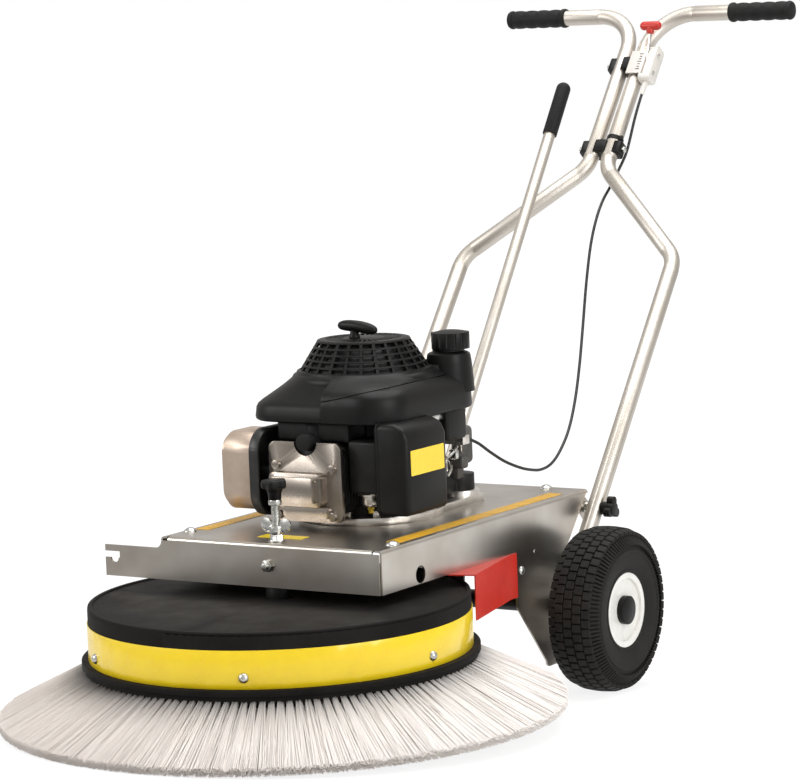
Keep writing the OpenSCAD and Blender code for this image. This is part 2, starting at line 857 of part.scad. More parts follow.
// Grip with a round end, pushed over the lever
module lever_grip() {
  r = lever_grip_d / 2;
  color("#222222") posed() on_lever() difference() {
    union() {
      translate([0, 0, lever_l - lever_grip_l]) cylinder(r = r, h = lever_grip_l - r);
      translate([0, 0, lever_l - r]) sphere(r);
    }
    translate([0, 0, lever_l - lever_grip_l - 1]) cylinder(d = lever_d, h = lever_grip_l - 5);
  }
}

// Wheels

// Tyre carcass with its bead seat, and the tread lugs in three bands
module tyre() {
  r = tyre_d / 2 - lug_h;
  half = tyre_w / 2;
  shoulder = 16;
  rotate([0, 90, 0]) {
    rotate_extrude() difference() {
      union() {
        translate([rim_d / 2 - 4, -half]) square([r - shoulder - rim_d / 2 + 4, 2 * half]);
        translate([rim_d / 2 - 4, -half + shoulder]) square([r - rim_d / 2 + 4, 2 * half - 2 * shoulder]);
        for (s = [-1, 1]) translate([r - shoulder, s * (half - shoulder)]) circle(shoulder);
      }
      for (s = [-1, 1]) translate([rim_d / 2 - 5, s > 0 ? half - 12 : -half - 1]) square([9, 13]);
    }
    tread(r);
  }
}

// Lugs on the tread: a middle row and two staggered shoulder rows
module tread(r) {
  step = 360 / lugs;
  lug_w = PI * r / lugs * 1.3;
  for (i = [0 : lugs - 1]) {
    rotate(i * step) translate([r - 3, -lug_w / 2, -10]) cube([lug_h + 3, lug_w, 20]);
    for (s = [-1, 1]) rotate((i + 0.5) * step)
      translate([r - 3, -lug_w / 2, s * 24 - 11]) cube([lug_h + 2, lug_w, 22]);
  }
}

// Pressed rim on its hub
module rim() {
  half = tyre_w / 2;
  hub_r = wheel_hub_d / 2;
  r = rim_d / 2 - 4;
  rotate([0, 90, 0]) rotate_extrude() {
    translate([r - rim_wall, -half + 12]) square([rim_wall, 2 * half - 24]);
    for (s = [-1, 1]) translate([r - rim_wall, s > 0 ? half - 12 : -half + 6]) square([rim_wall + 8, 6]);
    translate([spindle_d / 2 + run, half - 12 - rim_wall]) square([r - spindle_d / 2 - run, rim_wall]);
    translate([spindle_d / 2 + run, -half + 2]) square([hub_r - spindle_d / 2 - run, 2 * half - 14]);
  }
}

// Domed hub cap
module wheel_cap() {
  rotate([0, 90, 0]) difference() {
    union() {
      cylinder(d = cap_d, h = cap_h - 4);
      translate([0, 0, cap_h - 4]) dome_head(cap_d, 4);
    }
    translate([0, 0, -1]) cylinder(r = spindle_d / 2 + 2, h = cap_h - 2);
  }
}

// Place of a wheel, on the axle, with a lug on the ground
module at_wheel(side) {
  posed()
    translate([side * wheel_mid, axle_y, axle_z])
      rotate([-pitch, 0, 0])
        mirror([side < 0 ? 1 : 0, 0, 0]) children();
}

// Left tyre
module tyre_left() {
  color("#1c1c1c") at_wheel(1) tyre();
}

// Right tyre
module tyre_right() {
  color("#1c1c1c") at_wheel(-1) tyre();
}

// Left rim
module rim_left() {
  color("whitesmoke") at_wheel(1) rim();
}

// Right rim
module rim_right() {
  color("whitesmoke") at_wheel(-1) rim();
}

// Left hub cap
module wheel_cap_left() {
  color("#222222") at_wheel(1) translate([tyre_w / 2 - 12, 0, 0]) wheel_cap();
}

// Right hub cap
module wheel_cap_right() {
  color("#222222") at_wheel(-1) translate([tyre_w / 2 - 12, 0, 0]) wheel_cap();
}

// Brush

// Disc with its rim and foot flange
module brush_disc() {
  r = disc_d / 2;
  bore = shaft_d / 2 + run;
  color("#262626") posed() rotate_extrude() {
    translate([bore, disc_top - disc_wall]) square([r - disc_round - bore, disc_wall]);
    translate([r - disc_wall, disc_foot]) square([disc_wall, disc_h - disc_round]);
    translate([r - disc_round, disc_top - disc_round]) circle(disc_round);
    translate([ring_in, flange_z]) square([r + flange_out - ring_in, flange_t]);
  }
}

// Coloured band round the rim
module brush_band() {
  color("gold") posed() rotate_extrude()
    translate([disc_d / 2, disc_foot]) square([band_t, band_h]);
}

// Tufts in three rows, set in their ring
module bristles() {
  color("ivory") posed() {
    rotate_extrude() translate([ring_in, ring_z]) square([ring_out - ring_in, ring_t]);
    for (row = [0 : 2], i = [0 : tufts - 1])
      rotate(360 * (i + row / 3) / tufts) tuft(row);
  }
}

// One tuft of a row: a flat prism on the line from its root in the ring to its tip
module tuft(row) {
  tip_low = tip_z + row * tip_step;
  root = [root_r + 12 * row, ring_z + 3 + 3.5 * row];
  lean = atan2(root[1] - tip_low, brush_d / 2 - root[0]);
  tip = [brush_d / 2 - tuft_t * sin(lean), tip_low];
  translate([root[0], 0, root[1]]) rotate([0, atan2(root[1] - tip[1], tip[0] - root[0]), 0])
    translate([0, -tuft_w / 2, 0]) cube([norm(tip - root), tuft_w, tuft_t]);
}

// Dome screws through the band
module band_screws() {
  color("gainsboro") posed()
    for (i = [0 : band_screw_count - 1])
      rotate(-66 + 360 * i / band_screw_count)
        translate([disc_d / 2 + band_t, 0, disc_foot + 17])
          rotate([0, 90, 0]) dome_head(band_screw_d, 6);
}

// Hub on the disc, with its nut and the shaft that runs up into the gear housing
module brush_hub() {
  nut_h = min(10, gear_z - disc_top - hub_h - 2);
  color("#303030") posed() {
    translate([0, 0, disc_top]) cylinder(d = hub_d, h = hub_h);
    translate([0, 0, disc_top + hub_h - 1]) hex(shaft_d + 8, nut_h + 1);
    translate([0, 0, disc_top - disc_wall]) cylinder(d = shaft_d, h = deck_under - 6 - disc_top + disc_wall);
  }
}

// Outline of the gear housing, drawn in by inset: output, middle wheel and engine side
module gear_outline(inset) {
  mid_y = crank_y / 2;
  circle(gear_front_r - inset);
  translate([0, mid_y]) circle(gear_r - inset);
  translate([0, crank_y]) circle(gear_rear_r - inset);
  tangent_sides(gear_front_r - inset, 0, gear_r - inset, mid_y);
  tangent_sides(gear_r - inset, mid_y, gear_rear_r - inset, crank_y);
}

// Straight sides that touch two circles on the middle plane
module tangent_sides(r1, y1, r2, y2) {
  a = acos((r1 - r2) / (y2 - y1));
  polygon([[-r1 * sin(a), y1 + r1 * cos(a)], [r1 * sin(a), y1 + r1 * cos(a)],
           [r2 * sin(a), y2 + r2 * cos(a)], [-r2 * sin(a), y2 + r2 * cos(a)]]);
}

// Closed gear housing under the deck, from the engine's shaft to the brush shaft
module gear_housing() {
  rim_t = 6;
  color("#3a3a3a") posed() difference() {
    union() {
      translate([0, 0, gear_z]) linear_extrude(gear_h) gear_outline(4);
      translate([0, 0, gear_z + gear_h / 2 - rim_t]) linear_extrude(2 * rim_t) gear_outline(0);
      translate([0, 0, gear_z - 3]) cylinder(r = gear_front_r - 4, h = 10);
    }
    translate([0, 0, gear_z - 4]) cylinder(r = shaft_d / 2 + run, h = gear_h + 1);
    translate([0, crank_y, deck_under - 30]) cylinder(r = crank_bore, h = 40);
  }
}

// Crankshaft group

// Crankshaft through the engine into the gear housing
module crankshaft() {
  color("lightgray") posed()
    translate([0, crank_y, deck_under - 26]) cylinder(d = crank_d, h = case_top + 30 - deck_under + 26);
}

// Flywheel with its fan blades and the starter's cup under the grille
module flywheel() {
  r = fan_r - fan_wall - 12;
  cup_top = fan_h + grille_h - grille_t - 9;
  color("#555555") posed() translate([0, crank_y, case_top + 6]) {
    difference() {
      union() {
        cylinder(r = r, h = 10);
        cylinder(r = 32, h = 34);
        translate([0, 0, 33]) cylinder(r = fan_r / 2, h = cup_top - 33);
      }
      translate([0, 0, -1]) cylinder(d = crank_d, h = 25);
    }
    for (i = [0 : 11])
      rotate(30 * i) translate([44, -2, 9]) rotate(18) cube([r - 50, 4, 34]);
  }
}

// Engine

// Mounting flange of the engine, with the rear foot
module engine_base() {
  color("lightgray") posed() translate([0, crank_y, deck_top]) difference() {
    union() {
      cylinder(r = base_r, h = base_t);
      linear_extrude(base_t) polygon([[-40, 60], [30, 200], [96, 190], [100, 40]]);
      translate(rear_lobe) cylinder(r = 34, h = base_t + 8);
    }
    translate([0, 0, -1]) cylinder(r = crank_bore, h = base_t + 2);
  }
}

// Crankcase outline from above
module case_outline() {
  left = -case_r * 0.75;
  rear = case_r * 1.4;
  circle(case_r);
  translate([(case_side + left) / 2, rear / 2]) round_rect([case_side - left, rear], 20);
}

// Crankcase with its rear block
module crankcase() {
  color("#2b2b2b") posed() translate([0, crank_y, deck_top + base_t]) difference() {
    union() {
      cylinder(r = case_r, h = case_h - base_t);
      linear_extrude(case_h - base_t - 24) case_outline();
      translate([rear_lobe[0], rear_lobe[1], 8]) cylinder(r = 27, h = 26);
      translate([case_side - 16, case_r * 1.2, 8]) cube([40, rear_lobe[1] - case_r * 1.2, 26]);
    }
    translate([0, 0, -1]) cylinder(r = crank_bore, h = case_h + 2);
  }
}

// Cylinder with its cooling fins, ahead of the crankcase
module cylinder_block() {
  depth = crank_y - case_r * 0.8 - fin_front;
  pitch_y = (crank_y - case_r - fin_front - fin_t) / (fins - 1);
  color("#202020") posed() difference() {
    union() {
      translate([-head_x - 42, fin_front, head_z - 44]) cube([84, depth, 88]);
      for (i = [0 : fins - 1])
        plate_y(fin_front + i * pitch_y, fin_t)
          translate([-head_x, head_z]) round_rect([cover_w - 8, cover_h - 16], 24);
    }
    translate([0, crank_y, deck_top]) cylinder(r = case_r, h = case_h);
    bar_y(0, crank_y, -head_x + 2, head_z + cover_h / 2, 14);
  }
}

// Valve cover with its notch, raised middle and lower rib
module valve_cover() {
  front = crank_y - head_y;
  color("tan") posed() {
    plate_y(front, cover_t) difference() {
      translate([-head_x, head_z]) round_rect([cover_w, cover_h], 12);
      translate([-head_x + 2, head_z + cover_h / 2]) circle(21);
    }
    plate_y(front - 18, 18) translate([-head_x - 8, head_z - 10]) round_rect([cover_w - 38, 52], 9);
    plate_y(front - 24, 6) translate([-head_x - 10, head_z - 10]) round_rect([cover_w - 50, 40], 7);
    plate_y(front - 8, 8) translate([-head_x + 4, head_z - 46]) round_rect([cover_w - 48, 18], 6);
    for (p = [[-52, 26], [52, 22], [-50, -52], [50, -52]])
      bar_y(front - 6, front, -head_x + p[0], head_z + p[1], 7);
  }
}

// Spark plug cap in the notch of the valve cover
module spark_plug_boot() {
  z = head_z + cover_h / 2;
  color("#181818") posed() {
    bar_y(crank_y - head_y - 6, crank_y - head_y + 40, -head_x + 2, z, 13);
    translate([-head_x + 2, crank_y - head_y + 27, z]) cylinder(r = 12, h = 24);
  }
}

// Muffler can with a stepped outer face
module muffler() {
  color("rosybrown") posed() {
    plate_x(-muffler_x - muffler_w + 8, muffler_w - 8)
      translate([muffler_y, muffler_z]) round_rect([muffler_l, muffler_h], 32);
    plate_x(-muffler_x - muffler_w, 8)
      translate([muffler_y, muffler_z]) round_rect([muffler_l - 12, muffler_h - 12], 28);
  }
}

// Black dished shield between muffler and cylinder, with the exhaust stub
module muffler_shield() {
  rim_l = muffler_l + 18;
  rim_high = muffler_h + 14;
  color("#1e1e1e") posed() {
    plate_x(-muffler_x, 3) translate([muffler_y, muffler_z]) round_rect([rim_l, rim_high], 38);
    plate_x(-muffler_x + 3, 14) translate([muffler_y, muffler_z]) difference() {
      round_rect([rim_l, rim_high], 38);
      round_rect([rim_l - 8, rim_high - 8], 34);
    }
    bar_x(-muffler_x + 3, -head_x - cover_w / 2 + 4, fin_front + 16, muffler_z, 10);
  }
}

// Air cleaner box with a stepped cover
module air_cleaner() {
  color("#242424") posed() {
    plate_x(cleaner_x, cleaner_w - 10)
      translate([cleaner_y, cleaner_z]) round_rect([cleaner_l, cleaner_h], 20);
    plate_x(cleaner_x + cleaner_w - 10, 6)
      translate([cleaner_y, cleaner_z]) round_rect([cleaner_l - 6, cleaner_h - 6], 18);
    plate_x(cleaner_x + cleaner_w - 4, 4)
      translate([cleaner_y, cleaner_z]) round_rect([cleaner_l - 14, cleaner_h - 14], 14);
  }
}

// Carburettor between crankcase and air cleaner
module carburettor() {
  y = crank_y - 62;
  z = cleaner_z - 1;
  color("darkgray") posed() difference() {
    union() {
      bar_x(30, cleaner_x, y, z, 20);
      translate([cleaner_x - 20, y, z - 40]) cylinder(r = 19, h = 40);
    }
    translate([0, crank_y, deck_top]) cylinder(r = case_r, h = case_h);
  }
}

// Throttle control on the crankcase's side, with the clamp that holds the cable's end
module control_bracket() {
  color("#444444") posed() {
    plate_x(case_side, 4) translate([crank_y + 100, cleaner_z]) round_rect([40, 56], 8);
    translate([case_side, crank_y + 110, cleaner_z + 4]) cube([cable_end[0] + 9 - case_side, 20, 14]);
    bar_x(case_side, case_side + 13, crank_y + 92, cleaner_z - 14, 8);
  }
}

// Engine cover round the fan, spread out over the cylinder on the operator's right
module fan_cover() {
  z0 = case_top;
  color("#262626") posed() translate([0, crank_y, 0]) difference() {
    union() {
      translate([0, 0, z0]) cylinder(r = fan_r, h = fan_h);
      intersection() {
        hull() {
          shroud_slab(z0, 30, 0);
          shroud_slab(z0 + fan_h - 32, 2, 6);
          translate([0, 0, z0 + fan_h - 4]) cylinder(r = fan_r - 1, h = 1, $fn = 48);
        }
        translate([-300, -300, z0]) cube([300 + shroud_seam - gap / 2, 600, 200]);
      }
    }
    translate([0, 0, z0 - 1]) cylinder(r = fan_r - fan_wall, h = fan_h + 2);
  }
}

// Slab of the engine cover's outline, drawn in by inset
module shroud_slab(z, t, inset) {
  wide = shroud_left + tank_right - 2 * inset;
  long = shroud_front + shroud_back - 2 * inset;
  translate([(tank_right - shroud_left) / 2, (shroud_back - shroud_front) / 2, z])
    linear_extrude(t) round_rect([wide, long], 46 - inset);
}

// Fuel tank on the operator's left, round the fan housing, with its leg and filler neck
module fuel_tank() {
  z0 = case_top;
  color("#2a2a2a") posed() {
    difference() {
      translate([0, crank_y, 0]) union() {
        intersection() {
          hull() {
            shroud_slab(z0, 36, 0);
            shroud_slab(z0 + fan_h - 22, 2, 5);
            translate([0, 0, z0 + fan_h - 6]) cylinder(r = fan_r + 8, h = 1, $fn = 48);
            translate([cap_x - 2, cap_y - crank_y, z0 + fan_h - 6]) cylinder(r = 32, h = 6, $fn = 32);
          }
          translate([shroud_seam + gap / 2, -300, z0]) cube([300, 600, 200]);
        }
        translate([92, 44, z0 - 42]) cube([36, 72, 43]);
        translate([cap_x, cap_y - crank_y, fan_top - 12])
          cylinder(d = fuel_cap_d - 10, h = cap_z - fan_top + 12);
      }
      translate([0, crank_y, z0 - 50]) cylinder(r = fan_r + gap, h = 200);
    }
  }
}

// Recoil grille: rings and ribs of a cone, under a slotted top
module recoil_grille() {
  slope = (fan_r - grille_top_r) / grille_h;
  color("#202020") posed() translate([0, crank_y, fan_top]) {
    for (i = [0 : grille_rings - 1])
      let (z = i * (grille_h - 3) / (grille_rings - 1), r = fan_r - slope * z)
      rotate_extrude() translate([r - grille_t - 1, z]) square([grille_t + 1, i == 0 ? 6 : 3]);
    for (i = [0 : grille_ribs - 1])
      rotate(360 * i / grille_ribs) rotate_extrude(angle = 4)
        polygon([[fan_r - grille_t, 1], [fan_r - 0.2, 1], [grille_top_r - 0.2, grille_h - 1],
                 [grille_top_r - grille_t, grille_h - 1]]);
    grille_face();
  }
}

// Top of the grille: a middle disc, radial bars and an outer ring
module grille_face() {
  inner = grille_top_r * 0.52;
  translate([0, 0, grille_h - grille_t]) cylinder(r = inner, h = grille_t);
  translate([0, 0, grille_h - grille_t]) rotate_extrude()
    translate([grille_top_r - 12, 0]) square([12, grille_t]);
  for (i = [0 : grille_slots - 1])
    rotate(360 * i / grille_slots)
      translate([inner - 2, -2.5, grille_h - grille_t]) cube([grille_top_r - 8 - inner, 5, grille_t]);
}

// Bolts of the mounting flange and the rear foot
module engine_bolts() {
  color("gainsboro") posed() translate([0, crank_y, deck_top]) {
    for (a = [20, 160, 200, 340])
      rotate(a) translate([base_r - 13, 0, base_t]) hex(13, 7);
    translate([rear_lobe[0], rear_lobe[1], base_t + 34]) hex(17, 10);
  }
}

// Ribbed fuel cap
module fuel_cap() {
  r = fuel_cap_d / 2;
  color("#1c1c1c") posed() translate([cap_x, cap_y, cap_z]) difference() {
    union() {
      translate([0, 0, gap]) cylinder(r = r, h = fuel_cap_h - 4);
      translate([0, 0, fuel_cap_h - 4 + gap]) dome_head(fuel_cap_d - 4, 4);
    }
    for (i = [0 : 15])
      rotate(22.5 * i) translate([r + 1.2, 0, 4]) cylinder(r = 3, h = fuel_cap_h);
  }
}

// Starter grip on the grille
module starter_grip() {
  y = crank_y - 16;
  z = grille_top + gap;
  color("#222222") posed() translate([-6, y, z]) {
    cylinder(r = 9, h = 10);
    translate([6, 0, 14]) rotate([0, 96, 0]) {
      translate([0, 0, -starter_l / 2 + 8]) cylinder(r = 8, h = starter_l - 16);
      for (s = [-1, 1]) translate([0, 0, s * (starter_l / 2 - 8)]) sphere(8);
    }
  }
}

// Front spindle

// Nuts that hold the spindle on the deck
module spindle_nuts() {
  color("gainsboro") posed() difference() {
    union() {
      translate([0, 0, deck_top]) cylinder(d = rod_d + 14, h = 2);
      translate([0, 0, deck_top + 2]) hex(19, 9);
    }
    translate([0, 0, deck_top - 1]) cylinder(r = rod_d / 2 + run, h = 20);
  }
}

// Wing nut over them
module wing_nut() {
  z = deck_top + 11 + gap;
  color("gainsboro") posed() difference() {
    union() {
      translate([0, 0, z]) cylinder(d = 21, h = 12);
      for (s = [-1, 1])
        plate_y(-2, 4) translate([s * 17, z + 14]) {
          circle(10);
          translate([s > 0 ? -10 : -2, -12]) square([12, 14]);
        }
    }
    translate([0, 0, z - 1]) cylinder(r = rod_d / 2 + run, h = 40);
  }
}

// Spindle with its collar and three-lobe knob
module spindle_knob() {
  color("#1c1c1c") posed() {
    translate([0, 0, deck_under + gap]) cylinder(d = rod_d, h = rod_h + sheet - gap + 1);
    translate([0, 0, deck_top + rod_h]) cylinder(d = rod_d + 7, h = 8);
    translate([0, 0, deck_top + rod_h + 8]) lobe_knob(spindle_knob_d, spindle_knob_h);
  }
}

// Handle

// One handle tube: flattened foot, leg, knee, neck, column and the bend out to the grip
module handle_tube() {
  bends = [tube_bend, tube_bend, top_bend];
  run_pts = [[leg_x, 34], [leg_x, knee_s], [column_x, neck_s], [column_x, grip_s], [grip_reach - 4, grip_s]];
  difference() {
    union() {
      flat_tube(run_pts, tube_d / 2, tube_wall, bends);
      plate_x(tongue_x, tongue_t) {
        circle(tube_d / 2);
        translate([-tube_d / 2, 0]) square([tube_d, 40]);
      }
    }
    bar_x(0, 300, 0, 0, pivot_bolt_d / 2);
    bar_x(leg_x - 40, leg_x + 40, 0, knob_s, stud_r + run);
    for (s = [clamp_low_s, clamp_top_s])
      bar_x(0, clamp_out, 0, s, clamp_hole_r);
  }
}

// Left handle tube
module handle_tube_left() {
  color("whitesmoke") on_handle() handle_tube();
}

// Right handle tube
module handle_tube_right() {
  color("whitesmoke") on_handle() mirror([1, 0, 0]) handle_tube();
}

// Hand grip with a rim and shallow finger waves
module grip() {
  r = grip_d / 2;
  waves = 4;
  step = (grip_l - 16) / waves;
  translate([grip_reach, 0, grip_s]) rotate([0, -90, 0]) difference() {
    union() {
      translate([0, 0, 5]) cylinder(r = r - 1.5, h = grip_l - 5);
      cylinder(r = r, h = 8);
      for (i = [0 : waves - 1])
        translate([0, 0, 12 + i * step]) cylinder(r = r, h = step * 0.6);
    }
    translate([0, 0, 4]) cylinder(d = tube_d, h = grip_l);
  }
}

// Left hand grip
module grip_left() {
  color("#222222") on_handle() grip();
}

// Right hand grip
module grip_right() {
  color("#222222") on_handle() mirror([1, 0, 0]) grip();
}

// Two tube clamps: a saddle between the tubes and one on each outer side, where the throttle isn't
module handle_clamps() {
  color("#1c1c1c") on_handle() {
    tube_clamp(clamp_low_s, [-1, 1]);
    tube_clamp(clamp_top_s, [-1]);
  }
}

// Saddles of one clamp, bored for its bolt
module tube_clamp(s, outer) {
  difference() {
    translate([0, 0, s - clamp_h / 2]) linear_extrude(clamp_h) difference() {
      union() {
        round_rect([24, clamp_deep], 4);
        for (k = outer)
          translate([k * (column_x + clamp_out) / 2, 0]) round_rect([clamp_out - column_x, tube_d - 4], 6);
      }
      for (k = [-1, 1]) translate([k * column_x, 0]) circle(tube_d / 2);
    }
    bar_x(-clamp_out - 1, clamp_out + 1, 0, s, clamp_hole_r);
  }
}

// Pivot bolts, clamp studs with their nuts, and the bolts of the tube clamps
module handle_bolts() {
  nut_x = quad_x - 4 - gap;
  color("gainsboro") on_handle() {
    both_sides() {
      bar_x(half_w - sheet - 3, tongue_x + tongue_t, 0, 0, pivot_bolt_d / 2);
      translate([tongue_x + tongue_t, 0, 0]) rotate([0, 90, 0]) hex(19, 7);
      translate([half_w - sheet - gap - 9, 0, 0]) rotate([0, 90, 0]) hex(19, 9);
      difference() {
        bar_x(half_w + gap, tongue_x, 0, 0, 11);
        bar_x(half_w, tongue_x + 1, 0, 0, pivot_bolt_d / 2 - 1);
      }
      translate([nut_x - 8, 0, knob_s]) rotate([0, 90, 0]) hex(17, 8);
      bar_x(nut_x - 2, knob_x + 12, 0, knob_s, stud_r);
      difference() {
        bar_x(quad_x, leg_x - tube_d / 2 + 2, 0, knob_s, stud_r + 5);
        bar_x(quad_x - 1, leg_x, 0, knob_s, stud_r - 1);
        translate([leg_x, 0, 0]) cylinder(d = tube_d, h = 300);
      }
      translate([-clamp_out - 5, 0, clamp_low_s]) rotate([0, 90, 0]) hex(10, 5);
    }
    bar_x(-clamp_out - 1, clamp_out + 1, 0, clamp_low_s, clamp_bolt_r);
    bar_x(-clamp_out - 1, column_x + tube_d / 2, 0, clamp_top_s, clamp_bolt_r);
    translate([-clamp_out - 5, 0, clamp_top_s]) rotate([0, 90, 0]) hex(10, 5);
  }
}

// Clamp knob, bored for the end of its stud
module handle_knob() {
  translate([0, 0, knob_s]) difference() {
    translate([knob_x, 0, 0]) rotate([0, 90, 0]) lobe_knob(knob_d, 22);
    bar_x(knob_x - 1, knob_x + 12 + gap, 0, 0, stud_r + run);
  }
}

// Left clamp knob
module handle_knob_left() {
  color("#1c1c1c") on_handle() handle_knob();
}

// Right clamp knob
module handle_knob_right() {
  color("#1c1c1c") on_handle() mirror([1, 0, 0]) handle_knob();
}

// Throttle housing beside the column, on a plate over the upper clamp, with the slot for its lever
module throttle_housing() {
  slot_w = 4;
  plate_t = 3;
  face = -clamp_deep / 2 - plate_t;
  color("white") on_handle() {
    difference() {
      union() {
        plate_x(throttle_x - throttle_w / 2, throttle_w)
          translate([face + throttle_h / 2, throttle_s]) round_rect([throttle_h, throttle_l], 7);
        translate([6, face, throttle_s - 24]) cube([throttle_x - 6, plate_t, 48]);
      }
      translate([lever_x - slot_w / 2, face - 1, throttle_pin - 14])
        cube([slot_w, throttle_h - 4, throttle_l]);
    }
    bar_x(lever_x - slot_w / 2, lever_x + slot_w / 2, throttle_y, throttle_pin, 3);
  }
}

// Lever blade on its pin, with the T-shaped knob
module throttle_lever() {
  color("red") on_handle() translate([lever_x, throttle_y, throttle_pin]) rotate([22, 0, 0]) {
    difference() {
      union() {
        bar_x(-1.5, 1.5, 0, 0, 8);
        translate([-1.5, -3, 0]) cube([3, 6, throttle_lever_l]);
      }
      bar_x(-4, 4, 0, 0, 3 + run);
    }
    translate([0, 0, throttle_lever_l]) cylinder(r = 7, h = 12);
    translate([0, 0, throttle_lever_l + 14]) rotate([0, 90, 0]) {
      translate([0, 0, -13]) cylinder(r = 8, h = 26);
      for (s = [-1, 1]) translate([0, 0, 13 * s]) sphere(8);
    }
  }
}

// Throttle cable
module throttle_cable() {
  color("#151515") posed() cord(cable_route, cable_d);
}

deck_plate();
front_plate();
side_plate_left();
side_plate_right();
rear_wall();
wheel_guard_left();
wheel_guard_right();
deck_bolts();
axle_hangers();
gear_housing();
spindle_nuts();
engine_base();
crankcase();
cylinder_block();
valve_cover();
spark_plug_boot();
muffler();
muffler_shield();
air_cleaner();
carburettor();
control_bracket();
fan_cover();
fuel_tank();
recoil_grille();
engine_bolts();
brush_disc();
brush_band();
bristles();
band_screws();
brush_hub();
crankshaft();
flywheel();
swing_axle();
tilt_lever();
lever_grip();
tyre_left();
rim_left();
wheel_cap_left();
tyre_right();
rim_right();
wheel_cap_right();
handle_tube_left();
handle_tube_right();
grip_left();
grip_right();
handle_clamps();
handle_bolts();
throttle_housing();
throttle_lever();
throttle_cable();
handle_knob_left();
handle_knob_right();
spindle_knob();
wing_nut();
fuel_cap();
starter_grip();
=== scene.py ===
"""Looks of a walk-behind power brush sweeper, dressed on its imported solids.

Sizes are millimetres of the level machine: X to the operator's left, Y to the rear, Z up, with the brush axis
at X = Y = 0 and the tyres' lowest point at Z = 0. One matrix sets that machine on the ground.
"""

import json
import logging
import math
import random
from dataclasses import dataclass
from enum import Enum
from typing import Any, Iterable, Sequence

import bmesh
import bpy
from bmesh.types import BMEdge, BMesh, BMVert
from mathutils import Matrix, Vector
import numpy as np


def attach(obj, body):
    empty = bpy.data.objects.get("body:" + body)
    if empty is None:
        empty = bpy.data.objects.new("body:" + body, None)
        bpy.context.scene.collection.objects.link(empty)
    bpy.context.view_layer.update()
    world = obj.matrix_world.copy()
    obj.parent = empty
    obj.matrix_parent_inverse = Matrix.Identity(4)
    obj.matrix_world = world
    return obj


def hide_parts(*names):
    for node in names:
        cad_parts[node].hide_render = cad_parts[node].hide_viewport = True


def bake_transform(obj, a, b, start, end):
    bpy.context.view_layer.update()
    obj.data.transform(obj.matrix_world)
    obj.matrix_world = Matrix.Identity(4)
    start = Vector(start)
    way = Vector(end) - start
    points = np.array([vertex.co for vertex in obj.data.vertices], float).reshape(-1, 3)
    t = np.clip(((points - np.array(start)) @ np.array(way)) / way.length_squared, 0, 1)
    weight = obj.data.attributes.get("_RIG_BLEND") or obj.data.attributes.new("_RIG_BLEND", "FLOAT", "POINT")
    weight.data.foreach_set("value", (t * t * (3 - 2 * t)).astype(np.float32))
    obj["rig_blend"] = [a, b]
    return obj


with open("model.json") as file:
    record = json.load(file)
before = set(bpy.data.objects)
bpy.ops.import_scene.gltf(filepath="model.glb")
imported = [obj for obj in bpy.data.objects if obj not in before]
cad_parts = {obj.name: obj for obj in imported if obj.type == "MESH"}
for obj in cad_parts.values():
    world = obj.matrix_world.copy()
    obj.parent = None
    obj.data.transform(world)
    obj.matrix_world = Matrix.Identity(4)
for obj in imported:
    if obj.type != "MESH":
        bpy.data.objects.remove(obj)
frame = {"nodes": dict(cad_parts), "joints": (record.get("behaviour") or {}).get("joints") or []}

LOG = logging.getLogger("sweeper")
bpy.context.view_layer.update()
JOINTS = {joint["name"]: joint for joint in frame["joints"]}
MM = 0.001

Point2 = tuple[float, float]
Point3 = tuple[float, float, float]


class Frame(Enum):
    """Frames that pieces are drawn in, in millimetres."""

    LEVEL = "level machine"
    HANDLE = "handle, from its pivot"
    WHEEL_LEFT = "left wheel, from its middle"
    WHEEL_RIGHT = "right wheel, from its middle"

    def matrix(self) -> Matrix:
        """Gives the matrix from this frame to the row frame in metres."""
        up = Vector(JOINTS["brush_spin"]["axis"])
        back = Vector(JOINTS["axle_swing"]["axis"])
        side = back.cross(up)
        turn = Matrix((side, back, up)).transposed().to_4x4()
        scale = Matrix.Scale(MM, 4)
        if self is Frame.LEVEL:
            at = Vector(JOINTS["brush_spin"]["pos_m"]) - up * Machine.disc_top * MM
            return Matrix.Translation(at) @ turn @ scale
        if self is Frame.HANDLE:
            at = Vector(JOINTS["handle_fold"]["pos_m"])
            return Matrix.Translation(at) @ turn @ turned_by(-Machine.handle_rake, "X") @ scale
        left = self is Frame.WHEEL_LEFT
        at = Vector(JOINTS["wheel_left_spin" if left else "wheel_right_spin"]["pos_m"])
        return Matrix.Translation(at) @ Matrix.Diagonal((1 if left else -1, 1, 1, 1)) @ scale


@dataclass(frozen=True)
class Machine:
    """Sizes that several assemblies share, in millimetres and degrees."""

    disc_top: float = 224
    deck_top: float = 310
    handle_rake: float = 38.3
    crank_y: float = 262
    column_x: float = 18
    neck_s: float = 772
    low_clamp_s: float = 811
    throttle_x: float = 44
    cable_s: float = 953.7


def turned_by(degrees: float, axis: str) -> Matrix:
    """Gives a rotation about one axis.

    Args:
        degrees: The angle.
        axis: X, Y or Z.

    Returns:
        The 4 by 4 rotation.
    """
    return Matrix.Rotation(math.radians(degrees), 4, axis)


def moved_to(x: float, y: float, z: float) -> Matrix:
    """Gives a translation."""
    return Matrix.Translation((x, y, z))


# Finishes


def linear(code: str) -> tuple[float, float, float, float]:
    """Turns an sRGB hex colour to linear.

    Args:
        code: The colour as #rrggbb.

    Returns:
        Linear red, green, blue and an alpha of 1.
    """
    parts = [int(code[i : i + 2], 16) / 255 for i in (1, 3, 5)]
    r, g, b = (p / 12.92 if p <= 0.04045 else ((p + 0.055) / 1.055) ** 2.4 for p in parts)
    return r, g, b, 1.0


